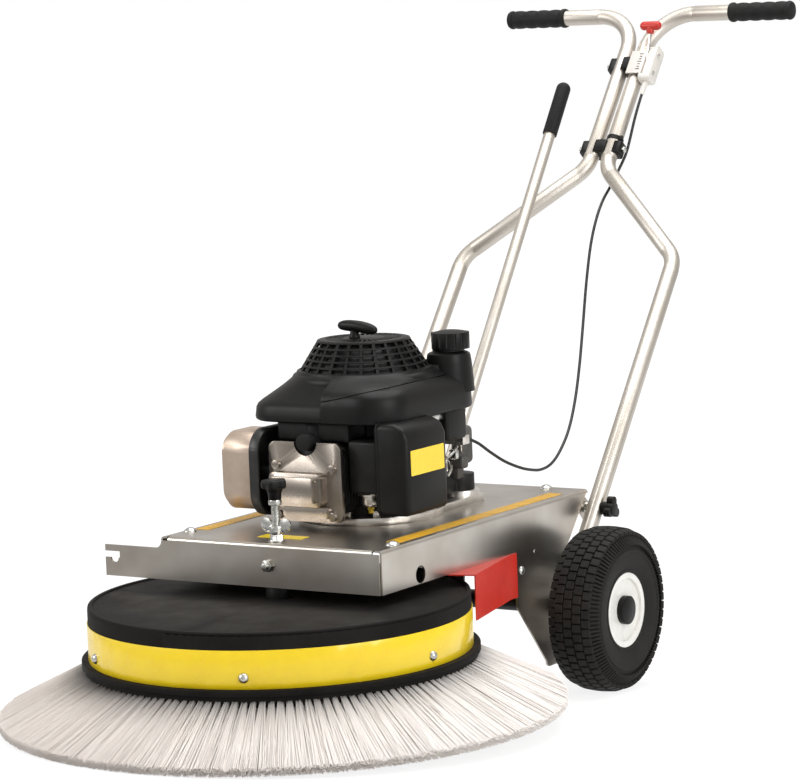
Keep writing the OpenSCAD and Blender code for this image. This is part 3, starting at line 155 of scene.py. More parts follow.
def add(tree: bpy.types.NodeTree, kind: str, inputs: dict[Any, Any], **settings: Any) -> bpy.types.Node:
    """Adds a node with its settings, values and links.

    Args:
        tree: The material's tree.
        kind: The node's type.
        inputs: What goes into each input, by name or place: a socket is linked, a value is set.
        **settings: The node's own settings.

    Returns:
        The node.
    """
    node = tree.nodes.new(kind)
    for name, value in settings.items():
        setattr(node, name, value)
    for key, value in inputs.items():
        if isinstance(value, bpy.types.NodeSocket):
            tree.links.new(value, node.inputs[key])
        else:
            node.inputs[key].default_value = value
    return node


def noise(tree: bpy.types.NodeTree, where: bpy.types.NodeSocket, size_mm: float, detail: float,
          roughness: float = 0.5) -> bpy.types.NodeSocket:
    """Adds noise whose features are size_mm across, at coordinates in metres, and gives its value."""
    return add(tree, "ShaderNodeTexNoise", {"Vector": where, "Scale": 1000 / size_mm, "Detail": detail,
                                            "Roughness": roughness}).outputs[0]


def ranged(tree: bpy.types.NodeTree, value: bpy.types.NodeSocket, given: Point2,
           wanted: Point2 = (0, 1)) -> bpy.types.NodeSocket:
    """Maps a value from a given range to a wanted one."""
    return add(tree, "ShaderNodeMapRange", {"Value": value, "From Min": given[0], "From Max": given[1],
                                            "To Min": wanted[0], "To Max": wanted[1]}).outputs[0]


def blended(tree: bpy.types.NodeTree, share: bpy.types.NodeSocket, first: Any,
            second: Any) -> bpy.types.NodeSocket:
    """Blends two colours, or their sockets, by a share of the second."""
    return add(tree, "ShaderNodeMix", {0: share, 6: first, 7: second}, data_type="RGBA").outputs[2]


class Finish:
    """A surface finish, made into one material that its pieces share."""

    name: str
    slot: str

    def material(self) -> bpy.types.Material:
        """Gives the finish's material, made at its first use."""
        found = bpy.data.materials.get(self.name)
        if found:
            return found
        made = bpy.data.materials.new(self.name)
        made.use_nodes = True
        tree = made.node_tree
        shader = tree.nodes["Principled BSDF"]
        where = add(tree, "ShaderNodeTexCoord", {}).outputs["Object"]
        self.paint(tree, shader, where)
        return made

    def paint(self, tree: bpy.types.NodeTree, shader: bpy.types.Node, where: bpy.types.NodeSocket) -> None:
        """Adds the finish's nodes.

        Args:
            tree: The material's tree.
            shader: Its principled shader.
            where: Object coordinates in metres.
        """
        raise NotImplementedError


def link(tree: bpy.types.NodeTree, shader: bpy.types.Node, **sockets: bpy.types.NodeSocket) -> None:
    """Links sockets to the shader's inputs, an underscore in a name being a space."""
    for name, socket in sockets.items():
        tree.links.new(socket, shader.inputs[name.replace("_", " ")])


@dataclass(frozen=True)
class WorkedMetal(Finish):
    """Rolled, drawn or plated metal: fine streaks one way in its gloss, soft clouds in its tone."""

    name: str
    slot: str
    light: str
    dark: str
    rough: Point2
    across_mm: float = 1.2
    along_mm: float = 90.0
    along: str = "Y"
    cloud_mm: float = 160.0
    dent_mm: float = 0.02

    def paint(self, tree: bpy.types.NodeTree, shader: bpy.types.Node, where: bpy.types.NodeSocket) -> None:
        """Streaks the roughness along the grain, clouds the tone, and raises the grain a little."""
        stretch = [1.0, 1.0, 1.0]
        stretch["XYZ".index(self.along)] = self.across_mm / self.along_mm
        grain_at = add(tree, "ShaderNodeMapping", {"Vector": where, "Scale": stretch}).outputs[0]
        grain = noise(tree, grain_at, self.across_mm * 2, 4.0)
        cloud = noise(tree, where, self.cloud_mm, 3.0, 0.6)
        both = add(tree, "ShaderNodeMath", {0: grain, 1: cloud}, operation="ADD")
        rough = ranged(tree, both.outputs[0], (0.7, 1.3), self.rough)
        colour = blended(tree, ranged(tree, cloud, (0.32, 0.68)), linear(self.light), linear(self.dark))
        bump = add(tree, "ShaderNodeBump", {"Strength": 0.25, "Distance": self.dent_mm * MM, "Height": grain})
        shader.inputs["Metallic"].default_value = 1.0
        link(tree, shader, Base_Color=colour, Roughness=rough, Normal=bump.outputs[0])


@dataclass(frozen=True)
class Grained(Finish):
    """Moulded plastic, rubber, cast metal or paint: an even fine grain with dust and scuffs in clouds."""

    name: str
    slot: str
    base: str
    worn: str
    rough: Point2
    grain_mm: float = 1.2
    height_mm: float = 0.08
    cloud_mm: float = 45.0
    metallic: float = 0.0
    coat: float = 0.0
    specular: float = 0.5

    def paint(self, tree: bpy.types.NodeTree, shader: bpy.types.Node, where: bpy.types.NodeSocket) -> None:
        """Raises the grain, and lets dust in clouds change the tone and dull the gloss."""
        grain = noise(tree, where, self.grain_mm, 2.0)
        cloud = noise(tree, where, self.cloud_mm, 6.0, 0.65)
        colour = blended(tree, ranged(tree, cloud, (0.4, 0.75)), linear(self.base), linear(self.worn))
        rough = ranged(tree, cloud, (0.3, 0.7), self.rough)
        bump = add(tree, "ShaderNodeBump", {"Strength": 0.6, "Distance": self.height_mm * MM, "Height": grain})
        shader.inputs["Metallic"].default_value = self.metallic
        shader.inputs["Coat Weight"].default_value = self.coat
        shader.inputs["Specular IOR Level"].default_value = self.specular
        link(tree, shader, Base_Color=colour, Roughness=rough, Normal=bump.outputs[0])


@dataclass(frozen=True)
class Strands(Finish):
    """Extruded nylon filament: each strand its own tone, with painted shade darkening it where the roots crowd
    together.
    """

    name: str
    slot: str
    pale: str
    deep: str
    # Colour of the painted shade where the roots crowd together
    root: str

    def paint(self, tree: bpy.types.NodeTree, shader: bpy.types.Node, where: bpy.types.NodeSocket) -> None:
        """Blends the colours by each strand's tone, and paints shade by its nearness to the root, which the mesh
        holds.
        """
        tone = add(tree, "ShaderNodeAttribute", {}, attribute_name="tone").outputs["Fac"]
        near = add(tree, "ShaderNodeAttribute", {}, attribute_name="root").outputs["Fac"]
        cloud = noise(tree, where, 60, 2.0)
        mixed = add(tree, "ShaderNodeMath", {0: tone, 1: cloud}, operation="MULTIPLY")
        colour = blended(tree, mixed.outputs[0], linear(self.pale), linear(self.deep))
        # Painted shade: darkens the colour towards the roots, as the crowded roots shade each other
        root_shade_share = add(tree, "ShaderNodeMath", {0: near, 1: 4.0}, operation="POWER")
        root_shaded_colour = blended(tree, root_shade_share.outputs[0], colour, linear(self.root))
        shader.inputs["Specular IOR Level"].default_value = 0.35
        link(tree, shader, Base_Color=root_shaded_colour, Roughness=ranged(tree, tone, (0, 1), (0.42, 0.62)))


# Bright zinc-plated cold-rolled sheet: warm grey, satin, with long soft reflections
ZINC_SHEET = WorkedMetal("zinc_plated_rolled_sheet", "zinc_sheet", "#cfcac2", "#a89f95", (0.285, 0.315),
                         along_mm=260, cloud_mm=190, dent_mm=0.0005)
# Zinc-plated drawn tube: pale and satin, faintly streaked along its length
ZINC_TUBE = WorkedMetal("zinc_plated_drawn_tube", "zinc_tube", "#d2ccc4", "#c2bbb1", (0.43, 0.47), along="Z",
                        cloud_mm=110, dent_mm=0.0002)
# Bright-plated turned fasteners: clean mirror with fine turning marks
BOLT = WorkedMetal("bright_plated_fastener", "bolt_zinc", "#dadad6", "#b9b9b4", (0.18, 0.34), cloud_mm=9,
                   along_mm=8)
# Ground steel shaft: dark mirror
SHAFT = WorkedMetal("ground_shaft_steel", "shaft_steel", "#a9a9ab", "#8d8d90", (0.2, 0.32), cloud_mm=20)
# Red enamel on pressed sheet: deep even gloss with slight orange peel
RED_ENAMEL = Grained("red_stoved_enamel", "red_paint", "#cf3226", "#bf2b1f", (0.3, 0.38), grain_mm=3,
                     height_mm=0.008, coat=0.3)
# Black chassis paint on steel: half gloss, thin grey scuffs
BLACK_STEEL = Grained("black_painted_steel", "black_steel", "#171717", "#262524", (0.3, 0.5), grain_mm=2.5)
# Die-cast aluminium: pale warm grey with a sandy skin
CAST_ALLOY = Grained("die_cast_aluminium", "cast_alloy", "#a89f96", "#8f867c", (0.24, 0.33), grain_mm=1.6,
                     height_mm=0.015, metallic=1.0, cloud_mm=60)
# Machined aluminium flange: pale and bright
FLANGE_ALLOY = Grained("machined_aluminium", "cast_alloy", "#e6e2dc", "#cbc6bf", (0.24, 0.38), grain_mm=1.2,
                       height_mm=0.05, metallic=1.0, cloud_mm=24)
# Grey chromated casting of the governor's cover: dull, mottled
GREY_ALLOY = Grained("chromated_grey_casting", "black_alloy", "#5b5956", "#474542", (0.4, 0.56), grain_mm=1.8,
                     height_mm=0.1, metallic=0.4)
# Black-painted casting: soft half gloss over sand grain
BLACK_ALLOY = Grained("black_painted_casting", "black_alloy", "#131313", "#201f1e", (0.38, 0.58),
                      grain_mm=1.8, height_mm=0.18, specular=0.25)
# Aluminised exhaust sheet, warm and dull from heat
EXHAUST = Grained("heated_aluminised_sheet", "exhaust_steel", "#c6b5a6", "#ad9a88", (0.4, 0.52), grain_mm=2.2,
                  height_mm=0.05, metallic=0.85, cloud_mm=70)
# Moulded ABS covers: charcoal with an even spark-eroded grain
BLACK_PLASTIC = Grained("moulded_black_abs", "black_plastic", "#0f0e0e", "#191817", (0.36, 0.48),
                        grain_mm=1.1, height_mm=0.06, cloud_mm=70, specular=0.2)
# Moulded polypropylene of the brush disc: matt, dusty brown-black
BRUSH_PLASTIC = Grained("moulded_dusty_polypropylene", "brush_plastic", "#12100f", "#1f1c1a", (0.52, 0.7),
                        grain_mm=1.5, height_mm=0.07, cloud_mm=60, specular=0.1)
# Gloss film on the band: clean yellow with faint waves
BAND_FILM = Grained("gloss_yellow_film", "band_yellow", "#f3d21a", "#ecc914", (0.2, 0.3), grain_mm=12,
                    height_mm=0.1, coat=0.3)
# Extruded nylon strands: milky white and grey, with painted shade at the roots
NYLON = Strands("extruded_nylon_strands", "bristle_nylon", "#f3eeea", "#ded6cf", "#55504b")
# Amber marking tape on the deck: worn satin film
AMBER_TAPE = Grained("worn_amber_tape", "band_yellow", "#d9a620", "#b98a22", (0.34, 0.5), grain_mm=9,
                     cloud_mm=26)
# Vulcanised tyre rubber: brown-black, dull, chalky on the sidewall
TYRE_RUBBER = Grained("vulcanised_tyre_rubber", "tyre_rubber", "#1a1918", "#2c2a27", (0.55, 0.78),
                      grain_mm=1.6, height_mm=0.12, specular=0.2)
# White enamel on the pressed rim: clean, with a soft gloss
RIM_ENAMEL = Grained("white_stoved_enamel", "rim_white", "#eceae5", "#dcd9d2", (0.24, 0.36), grain_mm=6,
                     height_mm=0.04, coat=0.3)
# Soft moulded grip rubber: black, matt and even
GRIP_RUBBER = Grained("moulded_grip_rubber", "grip_rubber", "#161616", "#201f1f", (0.5, 0.7), grain_mm=0.9,
                      height_mm=0.1, specular=0.2)
# Pale powder coat of the throttle box: off-white, finely pebbled
PALE_COAT = Grained("pale_powder_coat", "white_plastic", "#dedad3", "#cfcac2", (0.36, 0.5), grain_mm=1.4)
# Red moulded knob: bright nylon with a slight sheen
RED_KNOB = Grained("moulded_red_nylon", "red_plastic", "#c22a1e", "#ab2419", (0.28, 0.42), grain_mm=1.4)
# Turned brass of the drain screw: yellow, bright
BRASS = WorkedMetal("turned_brass", "bolt_zinc", "#c8b04a", "#a98f33", (0.22, 0.36), cloud_mm=8, along_mm=8)
# Braided nylon starter rope: dark, with a coarse plait that catches the light
ROPE = Grained("braided_nylon_rope", "cable_sleeve", "#2e2c2a", "#4b4845", (0.5, 0.66), grain_mm=2.4,
               height_mm=0.3, cloud_mm=12)
# Extruded cable sleeve: black, smooth and half gloss
SLEEVE = Grained("extruded_black_pvc", "cable_sleeve", "#121212", "#1e1e1e", (0.34, 0.5), grain_mm=1.0,
                 height_mm=0.03)


# Shapes


# No move
HERE = Matrix()
# Angle between faces from which a drawn edge is bevelled, in radians
SHARP = 0.6


def closed(bm: BMesh) -> BMesh:
    """Merges doubles and turns all faces outwards."""
    bmesh.ops.remove_doubles(bm, verts=bm.verts, dist=1e-3)
    bmesh.ops.recalc_face_normals(bm, faces=bm.faces)
    return bm


def turned(profile: Sequence[Point2], steps: int) -> BMesh:
    """Spins a profile about Z.

    Args:
        profile: Points of radius and height.
        steps: Faces round the turn.

    Returns:
        The skin, without doubles.
    """
    bm = bmesh.new()
    verts = [bm.verts.new((r, 0.0, z)) for r, z in profile]
    edges = [bm.edges.new(pair) for pair in zip(verts, verts[1:])]
    bmesh.ops.spin(bm, geom=[*verts, *edges], cent=(0, 0, 0), axis=(0, 0, 1), angle=math.tau, steps=steps,
                   use_merge=True)
    return closed(bm)


def bevelled(bm: BMesh, edges: Iterable[BMEdge], offset: float, segments: int) -> BMesh:
    """Rounds edges with a circular bevel."""
    bmesh.ops.bevel(bm, geom=list(edges), offset=offset, offset_type="OFFSET", affect="EDGES",
                    segments=segments, profile=0.5, material=-1, clamp_overlap=True)
    return bm


def block(size: Point3, radius: float, segments: int = 3) -> BMesh:
    """Makes a box about the origin with all its edges rounded."""
    bm = bmesh.new()
    bmesh.ops.create_cube(bm, size=1)
    bmesh.ops.scale(bm, vec=size, verts=bm.verts)
    return bevelled(bm, bm.edges, radius, segments)


def slab(outline: Sequence[Point2], depth: float, edge: float, segments: int) -> BMesh:
    """Extrudes an outline along Z from 0 to depth.

    Args:
        outline: Its corners in order.
        depth: The thickness.
        edge: Radius on the rims of both faces.
        segments: Segments of that radius.

    Returns:
        The solid.
    """
    bm = bmesh.new()
    face = bm.faces.new([bm.verts.new((x, y, 0.0)) for x, y in outline])
    made = bmesh.ops.extrude_face_region(bm, geom=[face])["geom"]
    bmesh.ops.translate(bm, vec=(0, 0, depth), verts=[v for v in made if isinstance(v, BMVert)])
    bmesh.ops.recalc_face_normals(bm, faces=bm.faces)
    rims = [e for e in bm.edges if abs(e.verts[0].co.z - e.verts[1].co.z) < 1e-6]
    return bevelled(bm, rims, edge, segments)


def box_outline(x: Point2, y: Point2, radius: float, steps: int = 6) -> list[Point2]:
    """Gives a rectangle's outline with round corners.

    Args:
        x: Its left and right.
        y: Its front and rear.
        radius: Radius of the corners.
        steps: Segments in each corner.

    Returns:
        The outline's points.
    """
    out: list[Point2] = []
    corners = [(x[0], y[0]), (x[1], y[0]), (x[1], y[1]), (x[0], y[1])]
    for i, corner in enumerate(corners):
        here = Vector(corner)
        to_a = (Vector(corners[i - 1]) - here).normalized()
        to_b = (Vector(corners[(i + 1) % len(corners)]) - here).normalized()
        half = to_a.angle(to_b) / 2
        middle = here + (to_a + to_b).normalized() * (radius / math.sin(half))
        start = here + to_a * (radius / math.tan(half)) - middle
        end = here + to_b * (radius / math.tan(half)) - middle
        turn = start.angle_signed(end)
        for k in range(steps + 1):
            spoke = start.copy()
            spoke.rotate(Matrix.Rotation(-turn * k / steps, 2))
            out.append(tuple(middle + spoke))
    return out


def film(x: Point2, y: Point2, radius: float) -> BMesh:
    """Makes a thin sticker with round corners that lies on Z = 0."""
    return slab(box_outline(x, y, radius), 0.5, 0.2, 1)


def hexagon(radius: float) -> list[Point2]:
    """Gives a hexagon's corners."""
    return [(radius * math.cos(a), radius * math.sin(a)) for a in (math.tau * k / 6 for k in range(6))]


def loft(rings: Sequence[Sequence[Vector]]) -> BMesh:
    """Bridges rings of equal count in order and fills the first and the last one."""
    bm = bmesh.new()
    loops: list[list[BMEdge]] = []
    for ring in rings:
        verts = [bm.verts.new(p) for p in ring]
        loops.append([bm.edges.new(pair) for pair in zip(verts, [*verts[1:], verts[0]])])
    for low, high in zip(loops, loops[1:]):
        bmesh.ops.bridge_loops(bm, edges=[*low, *high])
    for loop in (loops[0], loops[-1]):
        bmesh.ops.edgeloop_fill(bm, edges=loop)
    bmesh.ops.recalc_face_normals(bm, faces=bm.faces)
    return bm


def swept(path: Sequence[Vector], radius: float | Sequence[float], sides: int) -> BMesh:
    """Sweeps a round section along a path.

    Args:
        path: Points along the middle.
        radius: One radius, or one for each point.
        sides: Faces round the section.

    Returns:
        The capped tube.
    """
    radii = [radius] * len(path) if isinstance(radius, (int, float)) else list(radius)
    rings: list[list[Vector]] = []
    # A first direction that no path here runs along
    normal = Vector((1, 0, 0.05))
    for i, point in enumerate(path):
        along = (path[min(i + 1, len(path) - 1)] - path[max(i - 1, 0)]).normalized()
        normal = (normal - along * normal.dot(along)).normalized()
        other = along.cross(normal)
        rings.append([point + radii[i] * (normal * math.cos(a) + other * math.sin(a))
                      for a in (math.tau * k / sides for k in range(sides))])
    return loft(rings)


def curve_through(points: Sequence[Vector], per_span: int) -> list[Vector]:
    """Draws a smooth curve through points.

    Args:
        points: The points in order.
        per_span: New points for each span.

    Returns:
        Points of the curve, both ends included.
    """
    ends = [points[0] * 2 - points[1], *points, points[-1] * 2 - points[-2]]
    out: list[Vector] = []
    for a, b, c, d in zip(ends, ends[1:], ends[2:], ends[3:]):
        for k in range(per_span):
            t = k / per_span
            out.append(0.5 * (2 * b + (c - a) * t + (2 * a - 5 * b + 4 * c - d) * t**2
                              + (3 * b - a - 3 * c + d) * t**3))
    return [*out, points[-1].copy()]


def ring_of(bm: BMesh, count: int) -> BMesh:
    """Repeats all of a mesh evenly round Z."""
    bmesh.ops.spin(bm, geom=[*bm.verts, *bm.edges, *bm.faces], cent=(0, 0, 0), axis=(0, 0, 1),
                   angle=math.tau * (count - 1) / count, steps=count - 1, use_duplicate=True)
    return bm


def put_in(bm: BMesh, part: BMesh) -> None:
    """Moves all of a part into a mesh and frees the part."""
    mesh = bpy.data.meshes.new("part")
    part.to_mesh(mesh)
    part.free()
    bm.from_mesh(mesh)
    bpy.data.meshes.remove(mesh)


class Form:
    """A piece in the making: solids joined in one mesh, drawn in one frame."""

    def __init__(self, where: Frame = Frame.LEVEL) -> None:
        """Starts an empty piece in the frame that it is drawn in."""
        self.where = where
        self.bm = bmesh.new()

    def join(self, part: BMesh, place: Matrix = HERE) -> "Form":
        """Adds a solid.

        Args:
            part: The solid, which is freed.
            place: Where it goes in this piece's frame.

        Returns:
            This piece.
        """
        bmesh.ops.transform(part, matrix=place, verts=part.verts)
        if place.determinant() < 0:
            bmesh.ops.reverse_faces(part, faces=part.faces)
        put_in(self.bm, part)
        return self

    def turn(self, profile: Sequence[Point2], steps: int, place: Matrix = HERE) -> "Form":
        """Adds a profile spun about Z, as turned() and join() do."""
        return self.join(turned(profile, steps), place)

    def ring(self, section: Sequence[Point2], steps: int, place: Matrix = HERE) -> "Form":
        """Adds a closed section spun about Z."""
        return self.turn([*section, section[0]], steps, place)

    def finish(self, name: str, finish: Finish, body: str, smooth: float = 40,
               replaces: Sequence[str] = ()) -> bpy.types.Object:
        """Makes the piece an object that rides a body.

        Args:
            name: The piece's name.
            finish: Its finish.
            body: The body that it rides, or nothing where it is blended later.
            smooth: Angle below which edges shade smooth, in degrees.
            replaces: Solids that it stands for.

        Returns:
            The object, at the origin.
        """
        matrix = self.where.matrix()
        bmesh.ops.transform(self.bm, matrix=matrix, verts=self.bm.verts)
        if matrix.determinant() < 0:
            bmesh.ops.reverse_faces(self.bm, faces=self.bm.faces)
        mesh = bpy.data.meshes.new(name)
        self.bm.to_mesh(mesh)
        self.bm.free()
        mesh.polygons.foreach_set("use_smooth", [True] * len(mesh.polygons))
        mesh.set_sharp_from_angle(angle=math.radians(smooth))
        mesh.materials.append(finish.material())
        piece = bpy.data.objects.new(name, mesh)
        bpy.context.scene.collection.objects.link(piece)
        if body:
            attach(piece, body)
        if replaces:
            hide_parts(*replaces)
        LOG.info("%s: %d faces, %s", name, len(mesh.polygons), finish.name)
        return piece


def dress(finish: Finish, edge_mm: float, *nodes: str) -> None:
    """Gives solids a finish, soft edges and smooth curves.

    Args:
        finish: The finish.
        edge_mm: Radius of the softened edges, or 0 where they stay crisp, as on cut sheet.
        *nodes: Names of the solids.
    """
    crease = math.radians(32)
    for node in nodes:
        solid = frame["nodes"][node]
        solid.data.materials.clear()
        solid.data.materials.append(finish.material())
        solid.data.polygons.foreach_set("use_smooth", [True] * len(solid.data.polygons))
        weld = solid.modifiers.new("weld", "WELD")
        weld.merge_threshold = 2e-6
        LOG.info("%s: %s", node, finish.name)
        if not edge_mm:
            crisp = solid.modifiers.new("edges", "EDGE_SPLIT")
            crisp.split_angle = crease
            continue
        soft = solid.modifiers.new("edges", "BEVEL")
        soft.width = edge_mm * MM
        soft.segments = 2
        soft.limit_method = "ANGLE"
        soft.angle_limit = crease
        soft.harden_normals = True
        soft.use_clamp_overlap = True


# The machine's assemblies


@dataclass(frozen=True)
class Lamp:
    """One soft box: its place and width in metres, and its power."""

    name: str
    place: Point3
    size: float
    watts: float


@dataclass
class Stage:
    """Camera, floor, lamps and background. The floor, lamps and background are in metres."""

    eye: Point3 = (2764.856, -3935.419, 1108.102)
    yaw: float = -0.57167
    pitch: float = 0.119003
    roll: float = -0.039798
    focal_px: float = 3204.05
    width_px: float = 800
    sensor_mm: float = 36
    far_m: float = 100
    floor_half: float = 30
    floor_glow: float = 1.1
    floor_ahead: float = 0.3
    ahead_way: Point3 = (0.57, 0.82, 0)
    ahead_fade: Point2 = (-2.5, 0.5)
    shadow_fade: Point2 = (0.9, 2.0)
    shadow_white: float = 0.78
    lamp_aim: Point3 = (0, 0, 0.35)
    soft_boxes: tuple[Lamp, ...] = (
        Lamp("overhead", (0.3, 0.2, 3.4), 3.2, 105),
        Lamp("left_box", (-2.6, -2.8, 1.9), 1.8, 62),
        Lamp("right_box", (3.4, -1.2, 1.7), 1.8, 58),
    )

    def build(self) -> None:
        """Makes all of the stage."""
        self.camera()
        self.floor()
        self.lamps()
        self.background()

    def camera(self) -> None:
        """Sets the camera where the picture was taken from."""
        level = Frame.LEVEL.matrix()
        ahead = Vector((math.sin(self.yaw) * math.cos(self.pitch), math.cos(self.yaw) * math.cos(self.pitch),
                        -math.sin(self.pitch)))
        right = Vector((math.cos(self.yaw), -math.sin(self.yaw), 0))
        up = right.cross(ahead)
        right, up = (right * math.cos(self.roll) + up * math.sin(self.roll),
                     up * math.cos(self.roll) - right * math.sin(self.roll))
        turn = Matrix((right, up, -ahead)).transposed()
        level_turn = level.to_3x3() * (1 / MM)
        lens = bpy.data.cameras.new("camera")
        lens.sensor_fit = "HORIZONTAL"
        lens.sensor_width = self.sensor_mm
        lens.lens = self.focal_px / self.width_px * lens.sensor_width
        lens.clip_end = self.far_m
        camera = bpy.data.objects.new("camera", lens)
        camera.matrix_world = Matrix.Translation(level @ Vector(self.eye)) @ (level_turn @ turn).to_4x4()
        bpy.context.scene.collection.objects.link(camera)
        bpy.context.scene.camera = camera

    def floor(self) -> None:
        """Lays a floor that is white to the camera, keeps a soft shadow and is dimmer ahead to metal."""
        bm = bmesh.new()
        bmesh.ops.create_grid(bm, x_segments=1, y_segments=1, size=self.floor_half)
        mesh = bpy.data.meshes.new("floor")
        bm.to_mesh(mesh)
        bm.free()
        floor = bpy.data.objects.new("floor", mesh)
        paper = bpy.data.materials.new("matt_white_paper")
        paper.use_nodes = True
        tree = paper.node_tree
        tree.nodes.clear()
        matt = add(tree, "ShaderNodeBsdfDiffuse", {"Color": linear("#f4f4f2")})
        path = add(tree, "ShaderNodeLightPath", {})
        seen = add(tree, "ShaderNodeMath",
                   {0: path.outputs["Is Camera Ray"], 1: path.outputs["Is Glossy Ray"]}, operation="MAXIMUM")
        where = add(tree, "ShaderNodeTexCoord", {}).outputs["Object"]
        across = add(tree, "ShaderNodeVectorMath", {0: where, 1: self.ahead_way}, operation="DOT_PRODUCT")
        metal = ranged(tree, across.outputs["Value"], self.ahead_fade, (self.floor_ahead, self.floor_glow))
        bright = add(tree, "ShaderNodeMix", {0: path.outputs["Is Glossy Ray"], 2: self.floor_glow, 3: metal})
        glow = add(tree, "ShaderNodeEmission", {"Color": linear("#ffffff"), "Strength": bright.outputs[0]})
        away = add(tree, "ShaderNodeVectorMath", {0: where}, operation="LENGTH")
        white = ranged(tree, away.outputs["Value"], self.shadow_fade, (self.shadow_white, 1.0))
        share = add(tree, "ShaderNodeMath", {0: seen.outputs[0], 1: white}, operation="MULTIPLY")
        mixed = add(tree, "ShaderNodeMixShader",
                    {0: share.outputs[0], 1: matt.outputs[0], 2: glow.outputs[0]})
        add(tree, "ShaderNodeOutputMaterial", {"Surface": mixed.outputs[0]})
        mesh.materials.append(paper)
        bpy.context.scene.collection.objects.link(floor)

    def lamps(self) -> None:
        """Hangs soft boxes: a broad one overhead, one at the camera's left and one at its right."""
        for box in self.soft_boxes:
            light = bpy.data.lights.new(box.name, "AREA")
            light.shape = "SQUARE"
            light.size = box.size
            light.energy = box.watts
            lamp = bpy.data.objects.new(box.name, light)
            at = Vector(box.place)
            aim = Vector(self.lamp_aim) - at
            lamp.matrix_world = Matrix.Translation(at) @ aim.to_track_quat("-Z", "Y").to_matrix().to_4x4()
            bpy.context.scene.collection.objects.link(lamp)

    def background(self) -> None:
        """Makes the background white to the eye, paler grey to metal and a plain grey light on the rest."""
        world = bpy.data.worlds.new("studio")
        bpy.context.scene.world = world
        world.use_nodes = True
        tree = world.node_tree
        tree.nodes.clear()
        path = add(tree, "ShaderNodeLightPath", {})
        seen = add(tree, "ShaderNodeMath",
                   {0: path.outputs["Is Camera Ray"], 1: path.outputs["Is Transmission Ray"]},
                   operation="MAXIMUM")
        white = add(tree, "ShaderNodeBackground", {"Color": linear("#ffffff"), "Strength": 1.0})
        glossy = add(tree, "ShaderNodeBackground", {"Color": linear("#e9e7e4"), "Strength": 0.75})
        soft = add(tree, "ShaderNodeBackground", {"Color": linear("#e4e4e6"), "Strength": 0.5})
        metal = add(tree, "ShaderNodeMixShader",
                    {0: path.outputs["Is Glossy Ray"], 1: soft.outputs[0], 2: glossy.outputs[0]})
        mixed = add(tree, "ShaderNodeMixShader",
                    {0: seen.outputs[0], 1: metal.outputs[0], 2: white.outputs[0]})
        add(tree, "ShaderNodeOutputWorld", {"Surface": mixed.outputs[0]})
        bpy.context.scene.view_settings.view_transform = "Standard"


@dataclass
class Cable:
    """Throttle cable from the handle's throttle box to the engine's side."""

    diameter: float = 5
    hang: tuple[Point3, ...] = (
        (29, 976, 727), (33.5, 944, 683), (44, 905, 620), (58, 862, 545), (73, 820, 486), (86, 778, 432),
        (98, 732, 388), (106, 686, 358), (112, 644, 342), (114, 606, 338), (115, 570, 343), (115, 535, 352),
        (113, 492, 368), (109, 455, 388), (105, 428, 405), (101, 412, 413), (100, 402, 417), (100, 392, 418),
    )

    def route(self) -> list[Vector]:
        """Gives the cable's middle line in the row frame."""
        rake = Frame.HANDLE.matrix()
        level = Frame.LEVEL.matrix()
        box, top = Machine.throttle_x, Machine.cable_s
        tube, clamp, neck = Machine.column_x, Machine.low_clamp_s, Machine.neck_s
        upper = [(box, 4, top), (box, 4, top - 14), (box - 1, 2, top - 40), (tube + 23, -4, top - 75),
                 (tube + 20.5, -14, clamp + 30), (tube + 18, -20, clamp + 5), (tube + 14, -21, clamp - 25),
                 (tube + 9, -19, neck - 27), (tube + 8, -12, neck - 60)]
        points = [rake @ Vector((x, -n, s)) for x, n, s in upper]
        points += [level @ Vector(p) for p in self.hang]
        return curve_through(points, 5)

    def build(self) -> None:
        path = self.route()
        level = Frame.LEVEL.matrix()
        back = level.inverted()
        form = Form().join(swept([back @ p for p in path], self.diameter / 2, 12))
        sleeve = form.finish("cable_sleeve", SLEEVE, "", 60, ["throttle_cable"])
        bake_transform(sleeve, "frame", "handle", level @ Vector((115, 570, 343)), level @ Vector((29, 976, 727)))


